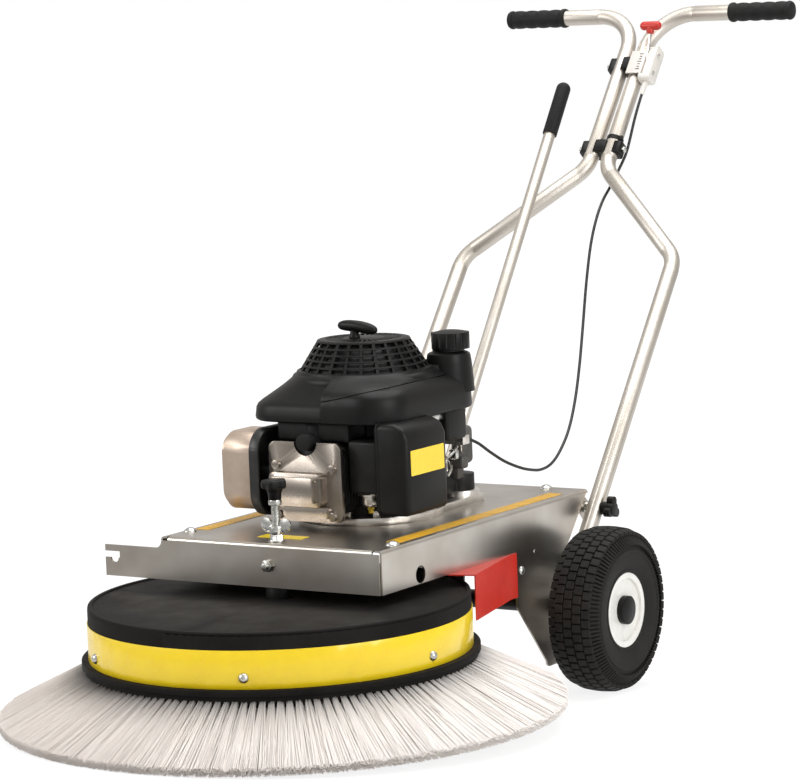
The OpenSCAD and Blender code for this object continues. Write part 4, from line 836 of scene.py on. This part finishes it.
@dataclass
class BrushHead:
    """Disc, band and the skirt of nylon strands."""

    tip_r: float = 435
    tip_z: float = 49
    root_r: float = 262
    socket_r: Point2 = (236, 300)
    socket_z: Point2 = (118, 135)
    disc: Point2 = (292, 224)
    seed: int = 11
    sectors: int = 12
    tufts: int = 12
    rows: int = 3
    strands: int = 60
    strand_d: float = 1.8
    taper: Point2 = (0.5, 0.36)
    spread: Point2 = (0.24, 0.62)
    stray: float = 0.16
    row_in: float = 12
    row_up: Point2 = (3.5, 4)
    fluff: float = 5
    pleats: int = 720
    pleat_z: float = 2.2

    def build(self) -> None:
        """Dresses the disc, sets the strands in their socket and lays the lip on the disc."""
        dress(BRUSH_PLASTIC, 1.5, "brush_disc")
        dress(BAND_FILM, 0.4, "brush_band")
        dress(BOLT, 0.5, "band_screws")
        dress(BLACK_STEEL, 0.6, "brush_hub")
        self.skirt()
        (r0, r1), (z0, z1) = self.socket_r, self.socket_z
        socket = Form().ring([(r0, z0), (r1, z0), (r1, z1), (r0, z1)], 96)
        socket.finish("bristle_socket", BRUSH_PLASTIC, "brush", 30)
        edge, top = self.disc
        lip = [(edge - 8, top - 1), (edge - 8, top + 0.6), (edge - 6.8, top + 2.4), (edge - 2.4, top + 2.6),
               (edge - 0.8, top + 1.4), (edge - 0.2, top - 1)]
        Form().ring(lip, 128).finish("disc_lip", BRUSH_PLASTIC, "brush", 30)

    def skirt(self) -> None:
        """Draws one sector of tufts strand by strand, repeats it round the disc and fills its middle."""
        dice = random.Random(self.seed)
        form = Form()
        for name in ("tone", "root"):
            form.bm.verts.layers.float.new(name)
        step = math.tau / (self.sectors * self.tufts)
        for row in range(self.rows):
            for tuft in range(self.tufts):
                turn = (tuft + row / self.rows) * step
                for _ in range(self.strands):
                    self.strand(form.bm, dice, row, turn, step)
        ring_of(form.bm, self.sectors)
        put_in(form.bm, self.core(dice))
        form.finish("bristle_skirt", NYLON, "brush", 60, ["bristles"])

    def core(self, dice: random.Random) -> BMesh:
        """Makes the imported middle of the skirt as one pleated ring.

        Args:
            dice: The seeded source of chance.

        Returns:
            The ring, with its tones and nearness to the root.
        """
        near_r, far_r = self.root_r + 4, self.tip_r - 30
        bm = turned([(near_r, 114), (far_r - 6, 59), (far_r, 65), (near_r + 78, 97), (near_r + 40, 112),
                     (near_r, 118), (near_r, 114)], self.pleats)
        tone, near = (bm.verts.layers.float.new(name) for name in ("tone", "root"))
        shades = [dice.random() for _ in range(self.pleats)]
        for vert in bm.verts:
            turn = math.atan2(vert.co.y, vert.co.x) % math.tau
            shade = shades[round(turn / math.tau * self.pleats) % self.pleats]
            vert[tone] = shade
            # Painted shade: the root layer darkens the ring more the nearer it lies to the roots
            vert[near] = max(0.0, (far_r - vert.co.xy.length) / (far_r - near_r))
            vert.co.z += self.pleat_z * (shade - 0.5)
        return bm

    def strand(self, bm: BMesh, dice: random.Random, row: int, turn: float, step: float) -> None:
        """Adds one strand of a tuft as a thin three-sided taper.

        Args:
            bm: The sector, with its layers of tones and of nearness to the root.
            dice: The seeded source of chance.
            row: The tuft's row, from the lowest.
            turn: The tuft's angle in radians.
            step: The angle between tufts of a row.
        """
        bundle = dice.uniform(-1, 1)
        root_turn = turn + bundle * self.spread[0] * step
        tip_turn = turn + (bundle * self.spread[1] + dice.gauss(0, self.stray)) * step
        lift = dice.uniform(0, 1)
        root_r = self.root_r + self.row_in * row + dice.uniform(-2, 2)
        root_z = self.socket_z[0] + 4 + self.row_up[0] * row + self.fluff * lift
        tip_r = self.tip_r - abs(dice.gauss(0, 3.0)) - 1.0
        tip_z = self.tip_z + self.row_up[1] * row + self.fluff * lift + dice.uniform(-1, 2)
        root = Vector((root_r * math.cos(root_turn), root_r * math.sin(root_turn), root_z))
        tip = Vector((tip_r * math.cos(tip_turn), tip_r * math.sin(tip_turn), max(tip_z, self.tip_z + 1)))
        along, middle = tip - root, (root + tip) / 2
        place = Matrix.Translation(middle) @ along.to_track_quat("Z", "X").to_matrix().to_4x4()
        wide, thin = (self.strand_d * share for share in self.taper)
        made = bmesh.ops.create_cone(bm, cap_ends=False, segments=3, radius1=wide, radius2=thin,
                                     depth=along.length, matrix=place)
        shade = dice.random()
        tone, near = bm.verts.layers.float["tone"], bm.verts.layers.float["root"]
        for vert in made["verts"]:
            vert[tone] = shade
            # Painted shade: the root end of each strand takes the full darkening of the root layer
            vert[near] = 1.0 if (vert.co - middle).dot(along) < 0 else 0.0


@dataclass
class Deck:
    """Folded deck, its guards and the parts under it."""

    strip_x: Point2 = (164, 190)
    strip_y: Point2 = (50, 545)
    label_x: Point2 = (-52, 28)
    label_y: Point2 = (21, 49)
    tape_gap: float = 0.02
    rod_r: float = 5.6
    thread_z: float = 311
    pitch: float = 1.6
    threads: int = 34
    lobes: int = 5
    star_steps: int = 60

    def build(self) -> None:
        """Dresses the deck, lays its strips and label and makes the spindle."""
        dress(ZINC_SHEET, 0, "deck_plate", "front_plate", "side_plate_left", "side_plate_right", "rear_wall")
        dress(RED_ENAMEL, 0, "wheel_guard_left", "wheel_guard_right")
        dress(BOLT, 0.5, "deck_bolts", "spindle_nuts")
        dress(BLACK_STEEL, 0.8, "axle_hangers", "swing_axle", "gear_housing")
        dress(ZINC_TUBE, 0.3, "tilt_lever")
        dress(GRIP_RUBBER, 1.0, "lever_grip")
        dress(BOLT, 0.8, "wing_nut")
        self.strips()
        self.spindle()

    def strips(self) -> None:
        """Lays a bare amber strip along both edges of the deck and a bare label by the spindle."""
        on_deck = moved_to(0, 0, Machine.deck_top + self.tape_gap)
        form = Form()
        for side in (-1, 1):
            x0, x1 = sorted(side * edge for edge in self.strip_x)
            form.join(film((x0, x1), self.strip_y, 3), on_deck)
        form.finish("deck_edge_strips", AMBER_TAPE, "frame")
        Form().join(film(self.label_x, self.label_y, 2), on_deck).finish("spindle_label", BAND_FILM, "frame")

    def spindle(self) -> None:
        """Cuts the spindle's thread, sets the collar under its knob and shapes the knob's lobes."""
        section: list[Point2] = [(self.rod_r, self.thread_z)]
        for i in range(self.threads):
            z = self.thread_z + i * self.pitch
            section += [(6.15, z + 0.3), (6.75, z + 0.8), (6.15, z + 1.3)]
        section += [(6.2, 366), (9.9, 366.2), (10.2, 367), (10.2, 373), (9.9, 373.8), (self.rod_r, 374)]
        Form().ring(section, 32).finish("spindle_thread", BOLT, "spindle")
        neck = [(0, 374), (9, 374), (9.8, 375), (10.4, 384), (12.4, 389), (14.5, 392.5), (0, 392.5)]
        star: list[Point2] = []
        for turn in (math.tau * i / self.star_steps for i in range(self.star_steps)):
            reach = 18.4 + 1.9 * math.cos(self.lobes * turn)
            star.append((reach * math.cos(turn), reach * math.sin(turn)))
        knob = Form().turn(neck, 40).join(slab(star, 14, 4, 3), moved_to(0, 0, 391))
        knob.finish("spindle_star", BLACK_PLASTIC, "spindle", 45, ["spindle_knob"])


@dataclass
class Wheels:
    """Both wheels: tyre, rim and cap."""

    radius: float = 133
    width: float = 84
    lug: float = 3.4
    lugs: int = 54
    tread_lug: Point3 = (6.8, 13.2, 14.2)
    edge_lug: Point3 = (6.8, 12.8, 14)
    shoulder_rib: Point3 = (4.4, 4.2, 24)

    def build(self) -> None:
        """Dresses rims and caps and makes the tyres."""
        dress(RIM_ENAMEL, 1.0, "rim_left", "rim_right")
        dress(BLACK_PLASTIC, 0.8, "wheel_cap_left", "wheel_cap_right")
        for side, where in (("left", Frame.WHEEL_LEFT), ("right", Frame.WHEEL_RIGHT)):
            self.tyre(side, where)

    def tyre(self, side: str, where: Frame) -> None:
        """Makes one tyre, with lugs in five rows and ribs on its shoulders, and the disc of its rim."""
        core = self.radius - self.lug
        half = self.width / 2
        wall = [(54, 29), (58, 32), (60, 36), (64, 37), (66, 36), (74, half - 3), (88, half - 0.6),
                (93, half - 0.4), (94, half + 0.6), (97, half + 0.6), (98, half - 0.6), (107, half - 3),
                (115, half - 8), (121, half - 15), (core - 1.5, half - 23)]
        axle = turned_by(90, "Y")
        form = Form(where).ring([*wall, (core, 0), *[(r, -a) for r, a in reversed(wall)]], 96, axle)
        middle = self.set_lug(block(self.tread_lug, 1.0, 1), core, 0, 0, 0)
        form.join(ring_of(middle, self.lugs), axle)
        # The rows of a flank: a lug's size and edge, its depth, place across, turn and lean, and their count
        rows = ((self.tread_lug, 1.0, 0.8, 15.6, 180 / self.lugs, 5, self.lugs),
                (self.edge_lug, 1.0, 4.6, 29.6, 0, 16, self.lugs),
                (self.shoulder_rib, 0.9, 15.6, 36.8, 0, 52, self.lugs * 2))
        for flank in (-1, 1):
            for size, edge, sunk, across, turn, lean, count in rows:
                lug = self.set_lug(block(size, edge, 1), core - sunk, flank * across, turn, flank * lean)
                form.join(ring_of(lug, count), axle)
        form.finish(f"tyre_skin_{side}", TYRE_RUBBER, f"wheel_{side}", 35, [f"tyre_{side}"])
        face = [(16, 24), (16, 30.4), (40, 30.6), (50, 31.2), (54, 32.6), (56.5, 35), (58, 36), (59, 35),
                (58.6, 31), (54, 27), (50, 24)]
        Form(where).ring(face, 72, axle).finish(f"rim_disc_{side}", RIM_ENAMEL, f"wheel_{side}", 40)

    def set_lug(self, lug: BMesh, radius: float, across: float, turn: float, lean: float) -> BMesh:
        """Sets a lug on the carcass.

        Args:
            lug: The lug about the origin, its height along X.
            radius: Where its middle sits.
            across: Its place along the axle.
            turn: Its angle round the wheel in degrees.
            lean: How far it leans over the shoulder in degrees.

        Returns:
            The lug.
        """
        place = turned_by(turn, "Z") @ moved_to(radius, 0, across) @ turned_by(-lean, "Y")
        bmesh.ops.transform(lug, matrix=place, verts=lug.verts)
        return lug


@dataclass
class Engine:
    """Small vertical-shaft engine on the deck."""

    side_x: Point2 = (-138, 132)
    front: float = 117
    rear: float = 402
    top_z: float = 545
    corner: float = 58
    fan_r: float = 105
    seam_x: float = 12
    seam_z: float = 508
    seam_fall: float = 0.22
    seam_gap: float = 0.6
    cap: Point2 = (100, 360)
    lobe_r: float = 34
    outline_steps: int = 120
    hood_levels: tuple[Point3, ...] = (
        (474, -2, 0), (476, 1, 0), (480, 2, 0), (486, 1, 0), (494, 0, 0), (500, -2, 0.02), (505, -5, 0.08),
        (511, -8, 0.2), (519, -10, 0.4), (528, -11, 0.64), (536, -12, 0.84), (542, -13, 0.97), (545, -14, 1))
    tank_levels: tuple[Point3, ...] = (
        (474, -2, 0), (476, 1.5, 0), (480, 2.5, 0), (500, 1.5, 0), (512, 0, 0.01), (519, -3, 0.04),
        (525, -7, 0.14), (530, -10, 0.32), (536, -12, 0.58), (540, -13, 0.82), (544, -14, 0.96),
        (545, -14, 1))
    grille_base: Point2 = (104, 543)
    grille_top: Point2 = (72, 593)
    grille_rings: int = 6
    grille_ribs: int = 24
    grille_bars: int = 36
    bowl_at: Point2 = (75, 150)
    rod_r: float = 1.9
    flange_lugs: int = 14
    pull_at: Point2 = (-6, 246)
    rope_r: float = 2.2
    cleaner_at: Point3 = (134, 176, 407)
    cleaner_size: Point3 = (62, 118, 142)

    def build(self) -> None:
        """Dresses the engine's castings, covers and fasteners."""
        dress(FLANGE_ALLOY, 0.8, "engine_base", "carburettor", "control_bracket")
        dress(CAST_ALLOY, 2.0, "valve_cover")
        dress(BLACK_ALLOY, 0.8, "crankcase", "cylinder_block")
        dress(BLACK_PLASTIC, 1.5, "fuel_cap")
        dress(EXHAUST, 6.0, "muffler")
        dress(BLACK_STEEL, 1.5, "muffler_shield")
        dress(BLACK_STEEL, 0.8, "flywheel")
        dress(GRIP_RUBBER, 1.5, "spark_plug_boot")
        dress(BOLT, 0.5, "engine_bolts")
        dress(SHAFT, 0.5, "crankshaft")
        self.covers()
        self.grille()
        self.intake()
        self.linkage()
        self.cleaner()
        self.starter()

    def outline(self, blend: float, let_out: float) -> list[Point2]:
        """Draws the covers' outline at one level.

        Args:
            blend: 0 for the square foot, 1 for the round top with the filler's lobe.
            let_out: How far the foot's outline is let out, in millimetres.

        Returns:
            Points round the crank axis.
        """
        foot = box_outline(self.side_x, (self.front - Machine.crank_y, self.rear - Machine.crank_y),
                           self.corner, 24)
        out: list[Point2] = []
        reach = self.fan_r + 2
        lobe = Vector((self.cap[0], self.cap[1] - Machine.crank_y))
        for k in range(self.outline_steps):
            turn = math.tau * k / self.outline_steps
            way = Vector((math.cos(turn), math.sin(turn)))
            square = self.to_outline(foot, way)
            off = lobe.dot(way)
            near = self.lobe_r**2 - (lobe.length_squared - off**2)
            top = max(reach, off + math.sqrt(near)) if near > 0 and off > 0 else reach
            size = (square + let_out) * (1 - blend) + min(top, square) * blend
            out.append((way.x * size, way.y * size))
        return out

    def to_outline(self, outline: Sequence[Point2], way: Vector) -> float:
        """Measures from the crank axis to an outline.

        Args:
            outline: Points round the axis.
            way: The direction.

        Returns:
            The distance, or 0 where nothing is met.
        """
        side = Vector((-way.y, way.x))
        for a, b in zip(outline, [*outline[1:], outline[0]]):
            start, run = Vector(a), Vector(b) - Vector(a)
            slope = run.dot(side)
            if abs(slope) < 1e-9:
                continue
            share = -start.dot(side) / slope
            if -1e-6 <= share <= 1 + 1e-6:
                far = (start + run * share).dot(way)
                if far > 0:
                    return far
        return 0.0

    def cover(self, levels: Sequence[Point3], grow: float, *cuts: tuple[Point3, Point3]) -> BMesh:
        """Lofts a cover and cuts it along planes.

        Args:
            levels: Height, letting out and roundness of each outline.
            grow: How far the skin stands out.
            *cuts: A point of each plane and the normal towards what is cut away.

        Returns:
            The cover, closed, with soft edges along its cuts.
        """
        rings = [[Vector((x, y + Machine.crank_y, z)) for x, y in self.outline(blend, let_out + grow)]
                 for z, let_out, blend in levels]
        bm = loft(rings)
        for at, normal in cuts:
            cut = bmesh.ops.bisect_plane(bm, geom=[*bm.verts, *bm.edges, *bm.faces], plane_co=at,
                                         plane_no=normal, clear_outer=True)["geom_cut"]
            bmesh.ops.edgeloop_fill(bm, edges=[e for e in cut if isinstance(e, BMEdge)])
            closed(bm)
            plane = Vector(normal).normalized()
            rim = [e for e in bm.edges if e.calc_face_angle(0) > SHARP
                   and all(abs((v.co - Vector(at)).dot(plane)) < 1e-3 for v in e.verts)]
            bevelled(bm, rim, 1.4, 2)
        return bm

    def covers(self) -> None:
        """Makes the fan hood over the tank, the tank with its filler and the collar under the grille."""
        side, fall, gap = self.seam_x, self.seam_fall, self.seam_gap
        over, under = (side, self.front, self.seam_z), (side, self.front, self.seam_z - 2 * gap)
        hood = Form().join(self.cover(self.hood_levels, 0, ((side - gap, 0, 0), (1, 0, 0))))
        hood.join(self.cover(self.tank_levels, -0.8, ((side - 2, 0, 0), (-1, 0, 0)), (over, (fall, 0, -1))))
        hood.finish("fan_hood", BLACK_PLASTIC, "frame", 35, ["fan_cover"])
        tank = Form().join(self.cover(self.tank_levels, 1.2, ((side + gap, 0, 0), (-1, 0, 0)),
                                      (under, (-fall, 0, 1))))
        tank.join(block((34, 60, 66), 6), moved_to(110, 328, 459))
        neck = [(0, 500), (40, 500), (38.5, 522), (36.5, 545), (35, 556), (33.5, 560), (30, 562), (27, 562.5),
                (25.5, 564), (25.5, 567.2), (0, 567.2)]
        tank.turn(neck, 64, moved_to(self.cap[0] - 3, self.cap[1] - 2, 0))
        tank.finish("tank_shell", BLACK_PLASTIC, "frame", 35, ["fuel_tank"])
        r, top = self.fan_r, self.top_z
        ring = [(r - 8, top - 12), (r + 11, top - 16), (r + 11, top - 11), (r + 8, top - 6),
                (r + 2, top - 2.5), (r + 1, top + 0.5), (r - 8, top + 0.5)]
        collar = Form().ring(ring, 96, moved_to(0, Machine.crank_y, 0))
        collar.finish("fan_collar", BLACK_PLASTIC, "frame", 35)

    def grille(self) -> None:
        """Builds the recoil grille: rings and ribs of a cone, a slotted face, and a dark cone inside as painted
        shade behind the slots.
        """
        (r0, z0), (r1, z1) = self.grille_base, self.grille_top
        slope = (r0 - r1) / (z1 - z0)
        at = moved_to(0, Machine.crank_y, 0)
        form = Form()
        for i in range(self.grille_rings):
            z = z0 + i * (z1 - z0 - 4) / (self.grille_rings - 1)
            r = r0 - slope * (z - z0)
            form.ring([(r - 5, z), (r - 0.5, z), (r, z + 0.6), (r - 2.2 * slope, z + 2.8),
                       (r - 0.6 - 3 * slope, z + 3.2), (r - 5, z + 3.2)], 96, at)
        rib = block((4.6, 5.2, math.hypot(z1 - z0, r0 - r1) - 3), 0.8, 1)
        lean = turned_by(-math.degrees(math.atan(slope)), "Y")
        midway = moved_to((r0 + r1) / 2 - 2.8, 0, (z0 + z1) / 2)
        bmesh.ops.transform(rib, matrix=midway @ lean, verts=rib.verts)
        form.join(ring_of(rib, self.grille_ribs), at)
        form.ring([(r1 - 12, z1 - 3.4), (r1 - 1, z1 - 3.4), (r1 - 0.4, z1 - 1.6), (r1 - 2, z1 - 0.2),
                   (r1 - 12, z1)], 96, at)
        bar = block((32, 3.4, 3), 0.6, 1)
        bmesh.ops.translate(bar, vec=(r1 - 26, 0, z1 - 1.7), verts=bar.verts)
        form.join(ring_of(bar, self.grille_bars), at)
        form.turn([(0, z1 - 3.6), (33, z1 - 3.6), (33.6, z1 - 2.6), (33, z1 - 0.2), (26, z1 + 0.9),
                   (0, z1 + 1.2)], 72, at)
        form.finish("grille_cage", BLACK_PLASTIC, "frame", 35, ["recoil_grille"])
        # Painted shade: a dark sheet inside the cage stands for the shade behind its slots
        shade_cone = [(r0 - 9, z0), (r0 - 7, z0), (r1 - 7, z1 - 5), (r1 - 9, z1 - 5)]
        Form().ring(shade_cone, 72, at).finish("grille_shade_cone", BLACK_STEEL, "frame", 35)

    def intake(self) -> None:
        """Makes the baffle under the hood, the intake box beside the cylinder and the float bowl under it."""
        baffle = Form().join(block((132, 96, 32), 5), moved_to(-16, 178, 460))
        baffle.join(block((54, 68, 82), 5), moved_to(77, 162, 407))
        baffle.finish("cowl_baffle", BLACK_ALLOY, "frame", 35)
        x, y = self.bowl_at
        bowl = [(0, 344), (9, 344), (12.5, 346), (14.5, 350), (14.5, 360), (16.5, 361), (16.5, 364),
                (14, 366), (14, 372), (0, 372)]
        cup = Form().turn(bowl, 40, moved_to(x, y, 0))
        cup.join(block((34, 30, 12), 3), moved_to(x, y + 2, 368))
        cup.finish("float_bowl", FLANGE_ALLOY, "frame", 35)
        drain = [(0, 333), (3.4, 333), (4.2, 334), (4.2, 339), (6, 340), (6, 345), (0, 345)]
        Form().turn(drain, 6, moved_to(x, y, 0)).finish("bowl_drain", BRASS, "frame", 20)

    def linkage(self) -> None:
        """Makes the governor's rods and cover, the cable's clamp and the lugs round the flange."""
        form = Form()
        for points in (((104, 300, 392), (105, 330, 396), (103, 352, 402), (98, 372, 408)),
                       ((94, 390, 408), (86, 402, 390), (76, 412, 372), (66, 420, 358)),
                       ((58, 374, 394), (76, 376, 388), (92, 362, 376), (100, 340, 366))):
            form.join(swept(curve_through([Vector(p) for p in points], 6), self.rod_r, 10))
        form.join(block((13, 15, 11), 1.5, 2), moved_to(100, 386, 418.5))
        form.join(slab(hexagon(4.6), 5, 0.5, 1), moved_to(100, 386, 424))
        form.join(slab(hexagon(8), 9, 0.8, 1), moved_to(70, 424, 366))
        form.join(block((14, 10, 16), 2, 2), moved_to(86, 380, 394))
        form.join(block((26, 66, 12), 3, 2), moved_to(108, 268, 468))
        form.finish("governor_rods", BOLT, "frame", 35)
        shell = Form().join(block((20, 44, 62), 9, 4), moved_to(80, 416, 404))
        shell.join(block((30, 20, 20), 5, 3), moved_to(80, 402, 378))
        shell.join(block((20, 20, 30), 3, 2), moved_to(74, 404, 366))
        shell.finish("governor_cover", GREY_ALLOY, "frame", 35)
        lug = block((18, 13, 12), 2.5, 2)
        bmesh.ops.translate(lug, vec=(98, 0, 327.5), verts=lug.verts)
        lugs = Form().join(ring_of(lug, self.flange_lugs), moved_to(0, Machine.crank_y, 0))
        lugs.finish("flange_lugs", FLANGE_ALLOY, "frame", 35)

    def starter(self) -> None:
        """Shapes the starter's arched grip on its neck, and the rope that it draws out of the cover."""
        x, y = self.pull_at
        tilt = moved_to(0, y, 609) @ turned_by(6, "Y")
        steps = [i / 12 for i in range(-12, 13)]
        path = [Vector((37 * t, 0, 3 * (1 - t * t))) for t in steps]
        girth = [9.4 * (1 - 0.24 * t * t) * math.sqrt(max(1 - abs(t) ** 7, 0.02)) for t in steps]
        form = Form().join(swept(path, girth, 20), tilt)
        neck = [(0, 594.4), (9, 594.4), (9, 597), (7.4, 600), (6.6, 606), (0, 606)]
        form.turn(neck, 32, moved_to(x, y, 0))
        form.finish("starter_handle", BLACK_PLASTIC, "starter", 50, ["starter_grip"])
        inside = [Vector((x, y, 592 + 0.5 * i)) for i in range(27)]
        rope = Form().join(swept(inside, self.rope_r, 12)).finish("starter_rope", ROPE, "", 60)
        level = Frame.LEVEL.matrix()
        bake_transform(rope, "frame", "starter", level @ inside[2], level @ inside[-3])

    def cleaner(self) -> None:
        """Makes the air cleaner's box, its cover and a bare label."""
        box = bmesh.new()
        bmesh.ops.create_cube(box, size=1)
        bmesh.ops.scale(box, vec=self.cleaner_size, verts=box.verts)
        shoulder = [e for e in box.edges if all(v.co.x > 0 and v.co.z > 0 for v in e.verts)]
        bevelled(box, shoulder, 24, 2)
        bevelled(box, [e for e in box.edges if e.calc_face_angle(0) > SHARP], 9, 3)
        x, y, z = self.cleaner_at
        form = Form().join(box, moved_to(x, y, z))
        form.join(block((3, 119.4, 143), 1.2, 2), moved_to(x - 22, y, z))
        form.finish("cleaner_box", BLACK_PLASTIC, "frame", 35, ["air_cleaner"])
        stand = Matrix(((0, 0, 1, x + 31), (1, 0, 0, 0), (0, 1, 0, 0), (0, 0, 0, 1)))
        label = film((128, 224), (398, 437), 2.5)
        Form().join(label, stand).finish("cleaner_label", BAND_FILM, "frame")


@dataclass
class Handle:
    """Tubular handle with its clamps, grips and throttle."""

    grip_s: float = 1108
    grip_in: float = 168
    grip_out: float = 290
    grip_d: float = 34
    waves: int = 4
    lever_x: float = 38
    lever_pin: Point2 = (-5, 978)
    lever_lean: float = 22
    plate_y: float = -19
    ticks: int = 7
    tick_x: float = 27
    tick_step: float = 5.5

    def build(self) -> None:
        """Dresses the handle and adds its grips, ties, cable seat and throttle."""
        dress(ZINC_TUBE, 0.3, "handle_tube_left", "handle_tube_right")
        dress(BLACK_PLASTIC, 1.5, "handle_clamps", "handle_knob_left", "handle_knob_right")
        dress(BOLT, 0.5, "handle_bolts")
        dress(PALE_COAT, 1.2, "throttle_housing")
        dress(RED_KNOB, 1.0, "throttle_lever")
        for side, name in ((1, "left"), (-1, "right")):
            self.grip(side, name)
        self.ties()
        self.throttle()

    def grip(self, side: int, name: str) -> None:
        """Turns one hand grip with finger waves, a rim at its mouth and a round end.

        Args:
            side: 1 at the left, -1 at the right.
            name: The side's name.
        """
        r = self.grip_d / 2
        long = self.grip_out - self.grip_in
        profile: list[Point2] = [(0, 0), (r - 6, 0), (r - 2.2, 1.2), (r - 0.4, 4), (r, 7), (r - 0.6, 9)]
        step = (long - 22) / self.waves
        for i in range(self.waves * 10 + 1):
            along = i / 10
            profile.append((r - 2.0 + 1.7 * math.sin(math.pi * (along % 1.0)) ** 0.8, 10 + along * step))
        profile += [(r - 1.2, long - 10), (r + 0.4, long - 8), (r + 0.8, long - 4), (r - 0.4, long - 0.6),
                    (14.2, long), (14.2, 5), (0, 5)]
        mirror = Matrix.Diagonal((side, 1, 1, 1))
        place = mirror @ moved_to(self.grip_out, 0, self.grip_s) @ turned_by(-90, "Y")
        form = Form(Frame.HANDLE).turn(profile, 48, place)
        form.finish(f"hand_grip_{name}", GRIP_RUBBER, "handle", 35, [f"grip_{name}"])

    def ties(self) -> None:
        """Straps the cable to the tube over the lower clamp, and seats it in the throttle box."""
        x, s = Machine.column_x, Machine.low_clamp_s + 20
        tie = [(14.1, -4), (15.4, -4), (15.4, 4), (14.1, 4)]
        form = Form(Frame.HANDLE).ring(tie, 40, moved_to(x, 0, s))
        form.join(block((7, 6, 9), 1, 2), moved_to(x + 15, -7, s))
        form.finish("cable_tie", BLACK_PLASTIC, "handle")
        relief = [(0, 0), (5.5, 0), (5.5, -6), (4.6, -9), (3.6, -24), (3.2, -26), (0, -26)]
        seat = Form(Frame.HANDLE).turn(relief, 24, moved_to(Machine.throttle_x, -4, Machine.cable_s))
        seat.finish("cable_seat", PALE_COAT, "handle")

    def throttle(self) -> None:
        """Sleeves the lever's blade in bright steel, and marks the plate with bare ticks and screws."""
        y, s = self.lever_pin
        at = moved_to(self.lever_x, y, s) @ turned_by(self.lever_lean, "X")
        blade = Form(Frame.HANDLE).join(block((3.4, 6.5, 58), 0.6, 1), at @ moved_to(0, 0, 40))
        blade.finish("throttle_blade", BOLT, "throttle", 30)
        ticks = Form(Frame.HANDLE)
        for i in range(self.ticks):
            tick = block((8 if i % 3 == 0 else 5, 0.7, 1.6), 0.2, 1)
            ticks.join(tick, moved_to(self.tick_x, self.plate_y, s - 4 + self.tick_step * i))
        ticks.finish("throttle_ticks", BLACK_PLASTIC, "handle")
        dome = [(0, 0), (4.6, 0), (4.4, 1), (3, 2.1), (0, 2.5)]
        heads = Form(Frame.HANDLE)
        for up in (-18, 20):
            heads.turn(dome, 24, moved_to(Machine.throttle_x + 11, -8, s + 12 + up) @ turned_by(90, "Y"))
        heads.finish("throttle_screws", BOLT, "handle")


def main() -> None:
    """Builds the stage and each assembly in turn."""
    logging.basicConfig(level=logging.INFO, format="%(message)s")
    Stage().build()
    Cable().build()
    for assembly in (BrushHead(), Deck(), Wheels(), Engine(), Handle()):
        LOG.info("Assembly: %s", type(assembly).__name__)
        assembly.build()


if __name__ == "__main__":
    main()
